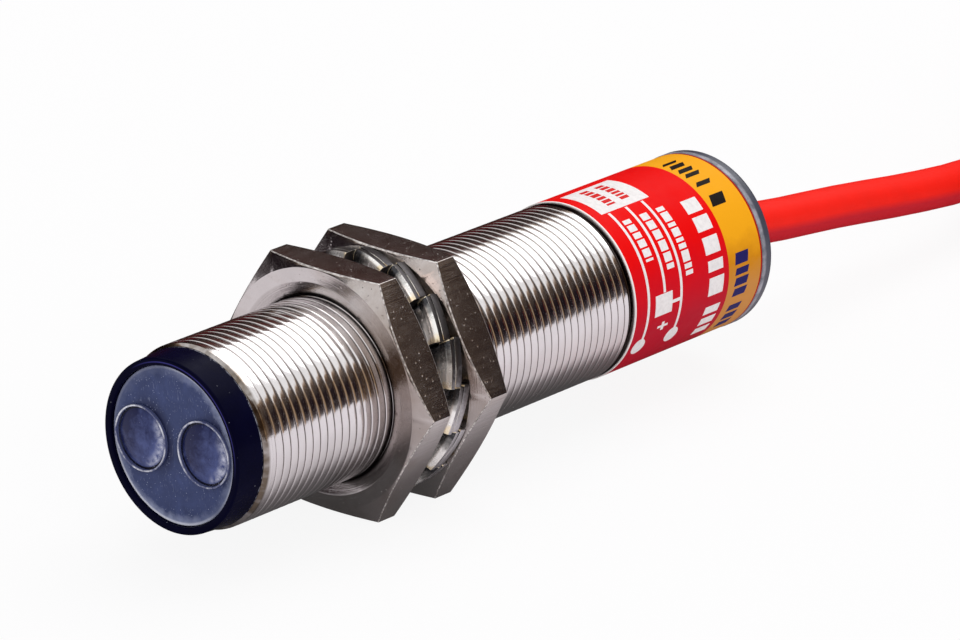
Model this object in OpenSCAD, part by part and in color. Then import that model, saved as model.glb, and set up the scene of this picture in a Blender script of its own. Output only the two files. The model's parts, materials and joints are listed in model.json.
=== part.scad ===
// Diffuse photoelectric sensor in a threaded round barrel, millimetres.
// The barrel axis lies along Y, the sensing face looks to -Y, and the nuts stand on z = 0.

/* [Barrel] */
// outer radius of the threaded barrel, over the crests
barrel_r = 9.0; // [8.5:0.05:9.5]
// wall of the brass tube
barrel_wall = 1.1; // [0.9:0.05:1.3]
// from the sensing face to the front end of the brass
barrel_start = 3.2; // [2.8:0.1:3.6]
// end of the thread, where the relief groove begins
thread_end = 55.2; // [48:0.1:62]
// end of the brass, against the rear cap
barrel_end = 76.05; // [70:0.05:90]

/* [Sensing face] */
// how far the bezel lies inside the thread crests
bezel_step = 0.5; // [0.4:0.05:0.8]
// width of the bezel rim round the window
bezel_rim = 0.8; // [0.7:0.05:1.0]
// how far the window lies behind the bezel rim
window_recess = 0.4; // [0.3:0.05:0.6]
// thickness of the window
window_t = 1.6; // [1.2:0.1:2.0]
// space between the two lens rims
lens_gap = 1.5; // [1.0:0.1:2.0]
// from a lens rim to the edge of the window
lens_edge = 0.45; // [0.25:0.05:0.6]
// width of a lens rim
lens_rim_w = 0.25; // [0.2:0.05:0.4]
// space between a lens rim and its dome
lens_moat = 0.3; // [0.2:0.05:0.4]
// turn of the lens pair about the axis, in degrees
lens_roll = 3.5; // [0:0.5:6]

/* [Nuts and washers] */
// distance across the flats of a nut
nut_af = 24.0; // [23.6:0.1:27]
// thickness of a nut
nut_t = 4.0; // [3:0.1:5]
// front face of the front nut
front_nut_at = 20.1; // [8:0.1:38]
// space between the nuts, which holds the washers
nut_space = 4.1; // [3:0.1:10]
// radial running clearance of a nut on the barrel
nut_clear = 0.05; // [0.03:0.01:0.08]
// radial width of the countersink of a nut
sink_w = 1.4; // [0.8:0.1:1.6]
// radial width of a lock washer, from its bore to the tips of its teeth
washer_w = 2.7; // [2.2:0.05:2.7]
// radial width of the flat ring of a lock washer
washer_ring_w = 1.1; // [0.9:0.1:1.4]
// sheet thickness of a lock washer
washer_t = 0.85; // [0.4:0.05:0.9]
// teeth on a lock washer
washer_teeth = 16; // [12:1:18]
// twist of each tooth, in degrees
tooth_twist = 15; // [8:1:18]

/* [Rear] */
// how far the rear cap stands out over the barrel
cap_over = 0.2; // [0.1:0.05:0.3]
// length of the rim of the rear cap behind the barrel
rim_len = 1.65; // [1.4:0.05:3]
// how far the rubber bushing stands out behind the rim
bushing_out = 1.8; // [1.2:0.1:2.6]
// thickness of the printed label
label_t = 0.12; // [0.08:0.02:0.16]

/* [Cable] */
// outer diameter of the cable
cable_d = 4.5; // [4.0:0.1:5.0]
// radius of the innermost folds of the hank, at the middle of the cable
hank_fold_r = 13.5; // [13:0.5:15]
// turns side by side in the hank
hank_wide = 2; // [2:1:2]
// turns on top of each other in the hank
hank_high = 4; // [3:1:4]
// straight length of each run of the hank
hank_run = 75.2; // [72:0.1:84]
// from the rear cap to the middle of the near folds
hank_behind = 80; // [79:0.5:90]
// how far the cable moves to the side before the hank
hank_shift = 11; // [10:0.5:12]
// insulated length of each flying lead
lead_len = 26; // [20:1:28]
// bare tinned length of each flying lead
tip_len = 6; // [4:0.5:7]

/* [Hidden] */
$fn = 48;
eps = 0.02;
washer_bore_r = barrel_r + 0.25;
washer_r = washer_bore_r + washer_w;
axis_z = max(nut_af / 2, washer_r);
cap_end = barrel_end + rim_len;
total_len = cap_end + bushing_out;
front_y = -total_len / 2;
bore_r = barrel_r - barrel_wall;
slip = 0.04;
plug_r = bore_r - slip;
edge_chamfer = 0.3;
groove_depth = 0.4;
groove_w = 0.8;
label_start = thread_end + groove_w + 0.05;

// sensing face
bezel_r = barrel_r - bezel_step;
bezel_round = 0.25;
window_r = bezel_r - bezel_rim;
bezel_seat = window_recess + window_t + 0.05;
bezel_plug_l = 5.8;
bezel_plug_end = barrel_start + bezel_plug_l;
bezel_plug_w = 1.46;
bezel_inner_r = plug_r - bezel_plug_w;
front_seal_in = 2.45;
front_seal_at = barrel_start + front_seal_in;
lens_rim_r = (window_r - lens_edge - lens_gap / 2) / 2;
lens_offset = lens_gap / 2 + lens_rim_r;
lens_r = lens_rim_r - lens_rim_w;
dome_sag = 0.36;
dome_edge_r = lens_r - lens_moat;
dome_r = (dome_edge_r * dome_edge_r + dome_sag * dome_sag) / (2 * dome_sag);
lens_front = window_recess - dome_sag;

// seals, in grooves of the bezel and of the rear cap
seal_r = 0.39;
seal_half = 0.45;
seal_in = 0.4;
seal_mid_r = bore_r - seal_in;
seal_floor_r = seal_mid_r - seal_in;

// optics behind the window
holder_r = bezel_inner_r - slip;
holder_l = 6.0;
holder_end = bezel_plug_end + holder_l;
tunnel_wall = 0.36;
tunnel_r = holder_r - lens_offset - tunnel_wall;
led_r = 1.5;
led_flange_r = 1.9;
led_fit = 0.05;
led_l = 3.5;
led_in = 2.0;
led_seat = holder_end - led_in;
led_tip = led_seat - led_l;
led_leg_r = 0.25;
led_leg_l = 3.8;

// nuts
nut_bore_r = barrel_r + nut_clear;
nut_corner_r = nut_af / sqrt(3);
nut_face_r = nut_af / 2 - 0.2;
nut_slope = 0.4;
nut_sink_r = nut_bore_r + sink_w;
nut_sink = 0.5;
rear_nut_at = front_nut_at + nut_t + nut_space;

// washers, nested in front of the rear nut
washer_ring_r = washer_bore_r + washer_ring_w;
tooth_pitch = 360 / washer_teeth;
tooth_half = tooth_pitch / 2 - 0.35;
tooth_phase = -5.25;
tooth_side = washer_r * sin(tooth_half);
tooth_reach = tooth_side * sin(tooth_twist) + washer_t / 2 * cos(tooth_twist);
washer_step = washer_t / cos(tooth_twist) + eps;
rear_washer_at = rear_nut_at - tooth_reach - 0.05;
front_washer_at = rear_washer_at - washer_step;

// rear cap and what it holds
cap_plug_l = 2.45;
plug_front = barrel_end - cap_plug_l;
rear_seal_in = 1.2;
rear_seal_at = barrel_end - rear_seal_in;
cap_r = barrel_r + cap_over;
cap_edge = 0.12;
cap_round = 0.5;
cap_dish = cap_end - 0.4;
cap_rim_w = 1.5;
cap_dish_r = cap_r - cap_rim_w;
trim_hole_r = 1.5;
trim_r = trim_hole_r - 0.08;
slot_w = 0.5;
slot_depth = 0.65;
pot_r = 2.1;
pot_l = 4.0;
pot_space = 1.1;
pot_wall = 0.245;
pot_end = plug_front - pot_space;
pot_start = pot_end - pot_l;
trim_offset = (plug_r - pot_r - pot_wall) / sqrt(2);
glow_r = 1.45;
glow_l = 2.6;
glow_start = plug_front - glow_l - glow_r - 0.05;

// circuit board
board_top = -0.3;
board_t = 1.0;
board_start = holder_end + eps;
board_space = 1.6;
board_end = plug_front - board_space;
board_half = sqrt(plug_r * plug_r - (board_t - board_top) * (board_t - board_top)) - 0.01;
on_board = board_top + eps;

// parts on the board, by their distance behind the optic holder
ic_from = 9;
ic_at = holder_end + ic_from;
ic_legs = 7;
ic_pitch = 1.27;
ic_end = 0.49;
ic_l = (ic_legs - 1) * ic_pitch + 2 * ic_end;
ic_half = 1.95;
ic_h = 1.6;
ic_leg = 2.9;
ic_leg_w = 0.4;
ic_leg_h = 0.35;
can_from = 26;
can_at = holder_end + can_from;
can_r = 2.5;
can_h = 5.2;
regulator_from = 33;
regulator_at = holder_end + regulator_from;
regulator_half = 3.3;
regulator_l = 6;
regulator_leg_l = 2.4;
diode_from = 30;
diode_at = holder_end + diode_from;
diode_x = 5.2;
diode_r = 0.8;
diode_l = 4.2;
chip_x = 5;
chip_pitch = 5;
chip_w = 1.3;
chip_l = 2.0;
ceramic_h = 1.2;
resistor_h = 0.8;
ceramic_places = [[-1, 1], [1, 1], [-1, 5]];
resistor_places = [[-1, 2], [-1, 3], [1, 2], [1, 3], [1, 4], [1, 5]];

// cable
cable_r = cable_d / 2;
cable_fit = 0.05;
bushing_neck = 0.65;
bushing_neck_r = cable_r + bushing_neck;
bushing_head = 1.25;
bushing_r = cable_r + bushing_head;
bushing_l = 4.9;
bushing_taper = 0.7;
jacket_in = 1.4;
jacket_start = plug_front - jacket_in;
core_r = 0.5;
core_space = 1.15;
core_from = 44;
core_start = holder_end + core_from;
hank_w = hank_wide * cable_d;
hank_h = hank_high * cable_d;
hank_in_r = hank_fold_r - cable_r;
hank_out_r = hank_in_r + hank_w;
hank_x = hank_out_r - cable_r - hank_shift;
hank_at = cap_end + hank_behind;
hank_round = 2;
hank_steps = 12;
tie_t = 0.6;
tie_w = 5.0;
lead_r = 0.65;
tip_r = 0.35;
lead_gap = 1.4;
lead_side = 0.3;
lead_at = hank_run / 2 - tie_w / 2 - 0.2;

// cable route, each row is the share of the sideways shift, the height of the middle above the floor,
// and the distance behind the rear cap
route = [
  [0, 12.00, jacket_start - cap_end],
  [0, 12.00, 0],
  [0, 11.78, 4],
  [0, 11.30, 8],
  [0, 10.60, 13],
  [0, 10.08, 17.5],
  [0, 9.54, 22],
  [0, 8.84, 27],
  [0, 8.10, 32],
  [0, 7.44, 37],
  [0.007, 6.84, 42],
  [0.081, 6.10, 47],
  [0.216, 5.16, 52],
  [0.388, 4.07, 57],
  [0.578, 3.04, 62.1]
];
route_lift = axis_z - route[0][1];
tube_sides = 10;

// puts a part built along Z, with its distance behind the sensing face as z, into the row frame
module place() {
  translate([0, front_y, axis_z])
    rotate([-90, 0, 0])
      children();
}

// the same, turned with the lens pair
module place_rolled() {
  place()
    rotate([0, 0, -lens_roll])
      children();
}

// a position in the turned frame: across, up, and behind the sensing face
module at(x, up, s) {
  translate([x, -up, s])
    children();
}

// a block in the turned frame, from a low corner to a high corner
module block(x0, x1, up0, up1, s0, s1) {
  translate([x0, -up1, s0])
    cube([x1 - x0, up1 - up0, s1 - s0]);
}

module turned(profile) {
  rotate_extrude()
    polygon(profile);
}

// quarter round from a start angle, as profile points
function arc(cr, cs, r, a0, a1, n) = [for (i = [0:n]) [cr + r * cos(a0 + (a1 - a0) * i / n), cs + r * sin(a0 + (a1 - a0) * i / n)]];

module barrel() {
  color([0.78, 0.76, 0.73])
    place()
      turned([
        [bore_r, barrel_start],
        [barrel_r - edge_chamfer, barrel_start],
        [barrel_r, barrel_start + edge_chamfer],
        [barrel_r, thread_end],
        [barrel_r - groove_depth, thread_end + 0.15],
        [barrel_r - groove_depth, thread_end + groove_w - 0.1],
        [barrel_r, thread_end + groove_w],
        [barrel_r, barrel_end],
        [bore_r, barrel_end]
      ]);
}

module front_bezel() {
  color([0.05, 0.05, 0.10])
    place()
      turned(concat(
        [[window_r + slip, bezel_seat], [window_r + slip, 0.12], [window_r + slip + 0.12, 0]],
        arc(bezel_r - bezel_round, bezel_round, bezel_round, -90, 0, 5),
        [
          [bezel_r + 0.1, barrel_start - eps],
          [plug_r, barrel_start - eps],
          [plug_r, front_seal_at - seal_half],
          [seal_floor_r, front_seal_at - seal_half],
          [seal_floor_r, front_seal_at + seal_half],
          [plug_r, front_seal_at + seal_half],
          [plug_r, bezel_plug_end],
          [bezel_inner_r, bezel_plug_end],
          [bezel_inner_r, bezel_seat]
        ]
      ));
}

module lens_dome() {
  intersection() {
    translate([0, 0, lens_front + dome_r])
      sphere(r = dome_r, $fn = 96);
    translate([0, 0, lens_front - 0.1])
      cylinder(r = dome_edge_r, h = window_recess - lens_front + 0.3);
  }
}

module lens_window() {
  color([0.28, 0.32, 0.50, 0.6])
    place_rolled()
      union() {
        translate([0, 0, window_recess])
          cylinder(r = window_r, h = window_t);
        for (side = [-1, 1])
          at(side * lens_offset, 0, 0) {
            lens_dome();
            difference() {
              translate([0, 0, lens_front])
                cylinder(r = lens_rim_r, h = window_recess - lens_front + 0.2);
              translate([0, 0, lens_front - 0.1])
                cylinder(r = lens_r, h = window_recess - lens_front + 0.5);
            }
          }
      }
}

module seal_ring(s) {
  color([0.08, 0.08, 0.08])
    place()
      translate([0, 0, s])
        rotate_extrude()
          translate([seal_mid_r, 0])
            circle(r = seal_r, $fn = 16);
}

module front_seal() {
  seal_ring(front_seal_at);
}

module rear_seal() {
  seal_ring(rear_seal_at);
}

module optic_holder() {
  color([0.07, 0.07, 0.08])
    place_rolled()
      difference() {
        turned([
          [0, bezel_seat + eps],
          [holder_r, bezel_seat + eps],
          [holder_r, bezel_plug_end + eps],
          [plug_r, bezel_plug_end + eps],
          [plug_r, holder_end],
          [0, holder_end]
        ]);
        for (side = [-1, 1])
          at(side * lens_offset, 0, 0) {
            translate([0, 0, bezel_seat - 0.5])
              cylinder(r = tunnel_r, h = led_tip - 1 - bezel_seat + 0.5);
            translate([0, 0, bezel_seat])
              cylinder(r = led_r + led_fit, h = holder_end - bezel_seat);
            translate([0, 0, led_seat])
              cylinder(r = led_flange_r + led_fit, h = holder_end);
          }
      }
}

// a round leaded optical part looking to the front
module optic_part(x) {
  place_rolled()
    at(x, 0, 0)
      union() {
        translate([0, 0, led_tip])
          sphere(r = led_r);
        translate([0, 0, led_tip])
          cylinder(r = led_r, h = led_seat + 0.5 - led_tip);
        translate([0, 0, led_seat + eps])
          cylinder(r = led_flange_r, h = 1.0);
        for (side = [-1, 1])
          at(side * 0.64, on_board + led_leg_r, led_seat + 0.8)
            cylinder(r = led_leg_r, h = led_leg_l, $fn = 16);
      }
}

module emitter_led() {
  color([0.70, 0.72, 0.85])
    optic_part(-lens_offset);
}

module receiver_phototransistor() {
  color([0.10, 0.09, 0.12])
    optic_part(lens_offset);
}

module circuit_board() {
  color([0.10, 0.36, 0.20])
    place_rolled()
      block(-board_half, board_half, board_top - board_t, board_top, board_start, board_end);
}

module control_ic() {
  color([0.10, 0.10, 0.11])
    place_rolled()
      union() {
        block(-ic_half, ic_half, board_top + 0.12, board_top + ic_h, ic_at, ic_at + ic_l);
        for (i = [0:ic_legs - 1])
          let (s = ic_at + ic_end + i * ic_pitch)
            block(-ic_leg, ic_leg, on_board, board_top + ic_leg_h, s - ic_leg_w / 2, s + ic_leg_w / 2);
      }
}

module output_transistor() {
  color([0.12, 0.12, 0.13])
    place_rolled()
      union() {
        block(-regulator_half, regulator_half, on_board, board_top + 2.3, regulator_at, regulator_at + regulator_l);
        for (x = [-2.28, 0, 2.28])
          block(x - 0.4, x + 0.4, on_board, board_top + 0.6, regulator_at + regulator_l - 0.1, regulator_at + regulator_l + regulator_leg_l);
      }
}

module smoothing_capacitor() {
  color([0.20, 0.22, 0.45])
    place_rolled()
      at(0, on_board, can_at)
        rotate([90, 0, 0])
          union() {
            cylinder(r = can_r, h = can_h);
            translate([-can_r - 0.15, -can_r - 0.15, 0])
              cube([2 * can_r + 0.3, 2 * can_r + 0.3, 0.5]);
          }
}

// a small chip, placed by its side of the board and its row behind the optic holder
module chip(place, h) {
  x = place[0] * chip_x;
  s = holder_end + place[1] * chip_pitch;
  block(x - chip_w / 2, x + chip_w / 2, on_board, on_board + h, s - chip_l / 2, s + chip_l / 2);
}

module ceramic_capacitors() {
  color([0.72, 0.60, 0.42])
    place_rolled()
      for (p = ceramic_places)
        chip(p, ceramic_h);
}

module chip_resistors() {
  color([0.10, 0.10, 0.10])
    place_rolled()
      for (p = resistor_places)
        chip(p, resistor_h);
}

module protection_diode() {
  color([0.30, 0.12, 0.10])
    place_rolled()
      at(diode_x, on_board + diode_r, diode_at)
        cylinder(r = diode_r, h = diode_l, $fn = 24);
}

module sensitivity_pot() {
  color([0.12, 0.20, 0.45])
    place_rolled()
      union() {
        at(trim_offset, trim_offset, pot_start)
          cylinder(r = pot_r, h = pot_end - pot_start);
        block(trim_offset - 1.4, trim_offset + 1.4, on_board, trim_offset, pot_start, pot_start + 3);
      }
}

module trimmer_screw() {
  color([0.86, 0.84, 0.78])
    place_rolled()
      at(trim_offset, trim_offset, 0)
        difference() {
          translate([0, 0, pot_end + eps])
            cylinder(r = trim_r, h = cap_dish - 0.1 - pot_end - eps);
          translate([-trim_r - 0.1, -slot_w / 2, cap_dish - 0.1 - slot_depth])
            cube([2 * trim_r + 0.2, slot_w, 1]);
        }
}

module indicator_led() {
  color([0.80, 0.15, 0.12])
    place_rolled()
      union() {
        at(-trim_offset, trim_offset, glow_start)
          cylinder(r = glow_r, h = glow_l);
        at(-trim_offset, trim_offset, glow_start + glow_l)
          sphere(r = glow_r);
        block(-trim_offset - 1.2, -trim_offset + 1.2, on_board, trim_offset, glow_start, glow_start + 2);
      }
}

module light_pipe() {
  color([0.85, 0.20, 0.16, 0.7])
    place_rolled()
      at(-trim_offset, trim_offset, plug_front)
        cylinder(r = trim_hole_r - eps, h = cap_dish + 0.15 - plug_front);
}

module rear_cap() {
  color([0.27, 0.28, 0.33])
    place_rolled()
      difference() {
        turned(concat(
          [
            [0, plug_front],
            [plug_r - 0.2, plug_front],
            [plug_r, plug_front + 0.2],
            [plug_r, rear_seal_at - seal_half],
            [seal_floor_r, rear_seal_at - seal_half],
            [seal_floor_r, rear_seal_at + seal_half],
            [plug_r, rear_seal_at + seal_half],
            [plug_r, barrel_end + eps]
          ],
          arc(cap_r - cap_edge, barrel_end + eps + cap_edge, cap_edge, -90, 0, 3),
          arc(cap_r - cap_round, cap_end - cap_round, cap_round, 0, 90, 5),
          [[cap_dish_r + 0.2, cap_end], [cap_dish_r, cap_end - 0.15], [cap_dish_r, cap_dish], [0, cap_dish]]
        ));
        translate([0, 0, plug_front - 1])
          cylinder(r = bushing_neck_r, h = cap_end - plug_front + 2);
        for (side = [-1, 1])
          at(side * trim_offset, trim_offset, plug_front - 1)
            cylinder(r = trim_hole_r, h = cap_end - plug_front + 2);
      }
}

module strain_relief() {
  color([0.10, 0.10, 0.11])
    place()
      turned([
        [cable_r + cable_fit, cap_dish - bushing_l],
        [bushing_neck_r - eps, cap_dish - bushing_l],
        [bushing_neck_r - eps, cap_dish + eps],
        [bushing_r, cap_dish + eps],
        [bushing_r, total_len - bushing_taper],
        [bushing_r - 0.4, total_len],
        [cable_r + cable_fit, total_len]
      ]);
}

module label() {
  color([0.85, 0.05, 0.07])
    place()
      turned([
        [barrel_r + eps, label_start],
        [barrel_r + eps + label_t, label_start],
        [barrel_r + eps + label_t, barrel_end - eps],
        [barrel_r + eps, barrel_end - eps]
      ]);
}

module hex_nut(s) {
  color([0.62, 0.59, 0.55])
    place()
      difference() {
        intersection() {
          translate([0, 0, s])
            cylinder(r = nut_corner_r, h = nut_t, $fn = 6);
          turned([
            [0, s],
            [nut_face_r, s],
            [nut_face_r + 3, s + 3 * nut_slope],
            [nut_face_r + 3, s + nut_t - 3 * nut_slope],
            [nut_face_r, s + nut_t],
            [0, s + nut_t]
          ]);
        }
        turned([
          [0, s - 1],
          [nut_sink_r, s - 1],
          [nut_sink_r, s],
          [nut_bore_r, s + nut_sink],
          [nut_bore_r, s + nut_t - nut_sink],
          [nut_sink_r, s + nut_t],
          [nut_sink_r, s + nut_t + 1],
          [0, s + nut_t + 1]
        ]);
      }
}

module front_nut() {
  hex_nut(front_nut_at);
}

module rear_nut() {
  hex_nut(rear_nut_at);
}

// one twisted tooth plate, from inside the flat ring to beyond the rim
module tooth() {
  rotate([-tooth_twist, 0, 0])
    translate([0, 0, -washer_t / 2])
      linear_extrude(height = washer_t)
        polygon([
          [washer_bore_r, -washer_bore_r * sin(tooth_half)],
          [washer_r + 0.4, -tooth_side],
          [washer_r + 0.4, tooth_side],
          [washer_bore_r, washer_bore_r * sin(tooth_half)]
        ]);
}

module washer_ring(outer, inner, h) {
  difference() {
    translate([0, 0, -h / 2])
      cylinder(r = outer, h = h);
    translate([0, 0, -h])
      cylinder(r = inner, h = 2 * h);
  }
}

module lock_washer(s) {
  color([0.66, 0.65, 0.62])
    place()
      translate([0, 0, s])
        union() {
          washer_ring(washer_ring_r, washer_bore_r, washer_t);
          intersection() {
            for (i = [0:washer_teeth - 1])
              rotate([0, 0, tooth_phase + i * tooth_pitch])
                tooth();
            washer_ring(washer_r, washer_ring_r, 2 * tooth_reach + 1);
          }
        }
}

module front_lock_washer() {
  lock_washer(front_washer_at);
}

module rear_lock_washer() {
  lock_washer(rear_washer_at);
}

// an insulated core from the jacket to its pad on the board
module core(x) {
  place_rolled()
    at(x, on_board + core_r, core_start)
      cylinder(r = core_r, h = jacket_start - eps - core_start, $fn = 16);
}

module core_brown() {
  color([0.40, 0.20, 0.08])
    core(-core_space);
}

module core_blue() {
  color([0.10, 0.25, 0.70])
    core(0);
}

module core_black() {
  color([0.06, 0.06, 0.06])
    core(core_space);
}

// swept tube along a list of points, each with its own ring
function unit(v) = v / norm(v);
function tangent(p, i) = unit(p[min(i + 1, len(p) - 1)] - p[max(i - 1, 0)]);
function ring_points(p, i, r, n) = let(t = tangent(p, i), a = [1, 0, 0], b = cross(t, a))
  [for (k = [0:n - 1]) p[i] + r * cos(360 * k / n) * a + r * sin(360 * k / n) * b];

module tube(p, r, n) {
  last = len(p) - 1;
  points = [for (i = [0:last]) each ring_points(p, i, r, n)];
  sides = [for (i = [0:last - 1], k = [0:n - 1]) [i * n + k, (i + 1) * n + k, (i + 1) * n + (k + 1) % n, i * n + (k + 1) % n]];
  near = [[for (k = [0:n - 1]) k]];
  far = [[for (k = [n - 1:-1:0]) last * n + k]];
  polyhedron(points = points, faces = concat(sides, near, far), convexity = 4);
}

module cable() {
  color([0.90, 0.16, 0.12])
    tube([for (q = route) [-q[0] * hank_shift, q[2] + cap_end + front_y, q[1] + route_lift]], cable_r, tube_sides);
}

module at_hank() {
  translate([hank_x, hank_at + front_y, 0])
    children();
}

// section of the hank's ring, as distance from the middle of a fold and height
hank_section = concat(
  arc(hank_in_r + hank_round, hank_round, hank_round, 180, 270, 3),
  arc(hank_out_r - hank_round, hank_round, hank_round, 270, 360, 3),
  arc(hank_out_r - hank_round, hank_h - hank_round, hank_round, 0, 90, 3),
  arc(hank_in_r + hank_round, hank_h - hank_round, hank_round, 90, 180, 3)
);

// stations round the hank: the near fold, then the far one, each as an angle and a distance along the runs
hank_stations = concat(
  [for (i = [0:hank_steps]) [180 + 180 * i / hank_steps, 0]],
  [for (i = [0:hank_steps]) [180 * i / hank_steps, hank_run]]
);

module hank_ring() {
  n = len(hank_section);
  m = len(hank_stations);
  points = [for (q = hank_stations) each [for (p = hank_section) [p[0] * cos(q[0]), p[0] * sin(q[0]) + q[1], p[1]]]];
  faces = [for (i = [0:m - 1], k = [0:n - 1])
    [i * n + (k + 1) % n, (i + 1) % m * n + (k + 1) % n, (i + 1) % m * n + k, i * n + k]];
  polyhedron(points = points, faces = faces, convexity = 6);
}

module strap(clear) {
  difference() {
    translate([-hank_out_r - clear, hank_run / 2 - tie_w / 2 - clear, 0])
      cube([2 * hank_out_r + 2 * clear, tie_w + 2 * clear, hank_h + clear]);
    translate([-hank_out_r + tie_t + clear, 0, tie_t + clear])
      cube([2 * hank_out_r - 2 * tie_t - 2 * clear, hank_run, hank_h - 2 * tie_t - 2 * clear]);
  }
}

module cable_hank() {
  color([0.88, 0.16, 0.12])
    at_hank()
      difference() {
        hank_ring();
        translate([0, 0, -eps])
          strap(eps);
      }
}

module hank_tie() {
  color([0.10, 0.10, 0.10])
    at_hank()
      strap(0);
}

// a flying lead inside the hank, insulated and then bare, running back towards the sensor
module lead(row) {
  at_hank()
    translate([hank_in_r - lead_side - lead_r - row * lead_gap, lead_at, lead_r])
      rotate([90, 0, 0])
        union() {
          cylinder(r = lead_r, h = lead_len, $fn = 16);
          cylinder(r = tip_r, h = lead_len + tip_len, $fn = 16);
        }
}

module lead_brown() {
  color([0.40, 0.20, 0.08])
    lead(0);
}

module lead_blue() {
  color([0.10, 0.25, 0.70])
    lead(1);
}

module lead_black() {
  color([0.06, 0.06, 0.06])
    lead(2);
}

barrel();
front_bezel();
lens_window();
front_seal();
optic_holder();
emitter_led();
receiver_phototransistor();
circuit_board();
control_ic();
output_transistor();
smoothing_capacitor();
ceramic_capacitors();
chip_resistors();
protection_diode();
sensitivity_pot();
trimmer_screw();
indicator_led();
light_pipe();
rear_cap();
rear_seal();
strain_relief();
label();
front_nut();
rear_nut();
front_lock_washer();
rear_lock_washer();
core_brown();
core_blue();
core_black();
cable();
cable_hank();
hank_tie();
lead_brown();
lead_blue();
lead_black();
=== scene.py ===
import sys
import json
import logging
import math
import random
from dataclasses import dataclass, field
from enum import Enum
from functools import reduce
from typing import Union

import bmesh
import bpy
import numpy as np
from mathutils import Matrix, Vector


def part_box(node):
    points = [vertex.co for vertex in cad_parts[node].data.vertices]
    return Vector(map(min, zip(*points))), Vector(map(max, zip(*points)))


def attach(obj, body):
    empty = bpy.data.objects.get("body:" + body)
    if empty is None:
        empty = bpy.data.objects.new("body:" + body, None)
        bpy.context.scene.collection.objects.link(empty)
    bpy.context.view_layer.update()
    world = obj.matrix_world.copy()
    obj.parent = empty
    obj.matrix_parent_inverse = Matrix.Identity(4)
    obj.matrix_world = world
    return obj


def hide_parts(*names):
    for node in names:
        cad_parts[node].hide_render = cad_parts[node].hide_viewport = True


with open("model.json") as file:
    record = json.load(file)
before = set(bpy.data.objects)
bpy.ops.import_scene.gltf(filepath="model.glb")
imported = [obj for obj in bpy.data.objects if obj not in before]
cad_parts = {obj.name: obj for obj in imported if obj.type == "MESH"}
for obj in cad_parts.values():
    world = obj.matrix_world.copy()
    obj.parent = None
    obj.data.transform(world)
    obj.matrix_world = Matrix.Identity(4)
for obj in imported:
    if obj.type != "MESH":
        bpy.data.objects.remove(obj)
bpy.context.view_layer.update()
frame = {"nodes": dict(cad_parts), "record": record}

log = logging.getLogger("sensor")

Mesh = bmesh.types.BMesh
Vert = bmesh.types.BMVert
Material = bpy.types.Material
Object = bpy.types.Object
Socket = bpy.types.NodeSocket
Feed = Union[Socket, float, tuple]
Colour = tuple[float, float, float]
Made = dict[Enum, Material]

MM = 0.001


def middle(node: str) -> Vector:
    """The middle of a node's box, in metres."""
    low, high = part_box(node)
    return (low + high) / 2


FACE_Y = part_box("front_bezel")[0].y
AXIS_Z = middle("front_nut").z
ROW = Matrix.Translation((0, FACE_Y, AXIS_Z)) @ Matrix.Scale(MM, 4)


def behind_face(y: float) -> float:
    """A row-frame y, in metres, as millimetres behind the sensing face."""
    return (y - FACE_Y) / MM


class Slot(Enum):
    """The record's material slots, by what they finish."""

    BARREL = "barrel_nickel"
    NUT = "nut_nickel"
    WASHER = "washer_steel"
    BEZEL = "bezel_plastic"
    WINDOW = "window_filter"
    SEAL = "seal_rubber"
    HOLDER = "holder_plastic"
    EMITTER = "emitter_epoxy"
    RECEIVER = "receiver_epoxy"
    BOARD = "board_laminate"
    CHIP = "chip_black"
    CAN = "capacitor_can"
    CERAMIC = "ceramic_tan"
    DIODE = "diode_body"
    POT = "pot_blue"
    TRIMMER = "trimmer_brass"
    INDICATOR = "indicator_red"
    LIGHT_PIPE = "light_pipe_red"
    CAP = "cap_plastic"
    BUSHING = "bushing_rubber"
    LABEL = "label_film"
    BROWN = "core_brown"
    BLUE = "core_blue"
    BLACK = "core_black"
    JACKET = "cable_jacket"
    TIE = "tie_black"


class Detail(Enum):
    """Single details whose finish differs from their slot's own."""

    WHITE_INK = "white_ink"
    RED_INK = "red_ink"
    BLACK_INK = "black_ink"
    BLUE_INK = "blue_ink"
    DOME = "dome"
    RIM = "rim"
    EDGE = "edge"
    TOOTH = "tooth"
    SHEARED = "sheared"
    TINNED = "tinned"


class Body(Enum):
    """The bodies that pieces ride on."""

    SENSOR = "sensor"
    FRONT_NUT = "front_nut"
    REAR_NUT = "rear_nut"
    FRONT_WASHER = "front_washer"
    REAR_WASHER = "rear_washer"
    TRIMMER = "trimmer"


def shaded(colour: Colour, share: float) -> Colour:
    """A colour with each part multiplied by one share."""
    return tuple(part * share for part in colour)


def tinted(colour: Colour, tint: Colour) -> Colour:
    """A colour with each part multiplied by its own share."""
    return tuple(part * share for part, share in zip(colour, tint))


@dataclass(frozen=True)
class Pattern:
    """A noise: waves per millimetre, octaves, strength of the fine ones, and the range that is read."""

    scale: float
    detail: float = 3
    rough: float = 0.5
    stretch: tuple = (1, 1, 1)
    bend: float = 0
    low: float = 0.3
    high: float = 0.7


@dataclass(frozen=True)
class Dust:
    """Specks on a surface: how dense, how far they reach, how large their core is and where they gather."""

    scale: float
    reach: float
    core: float
    chance: Pattern


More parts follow.
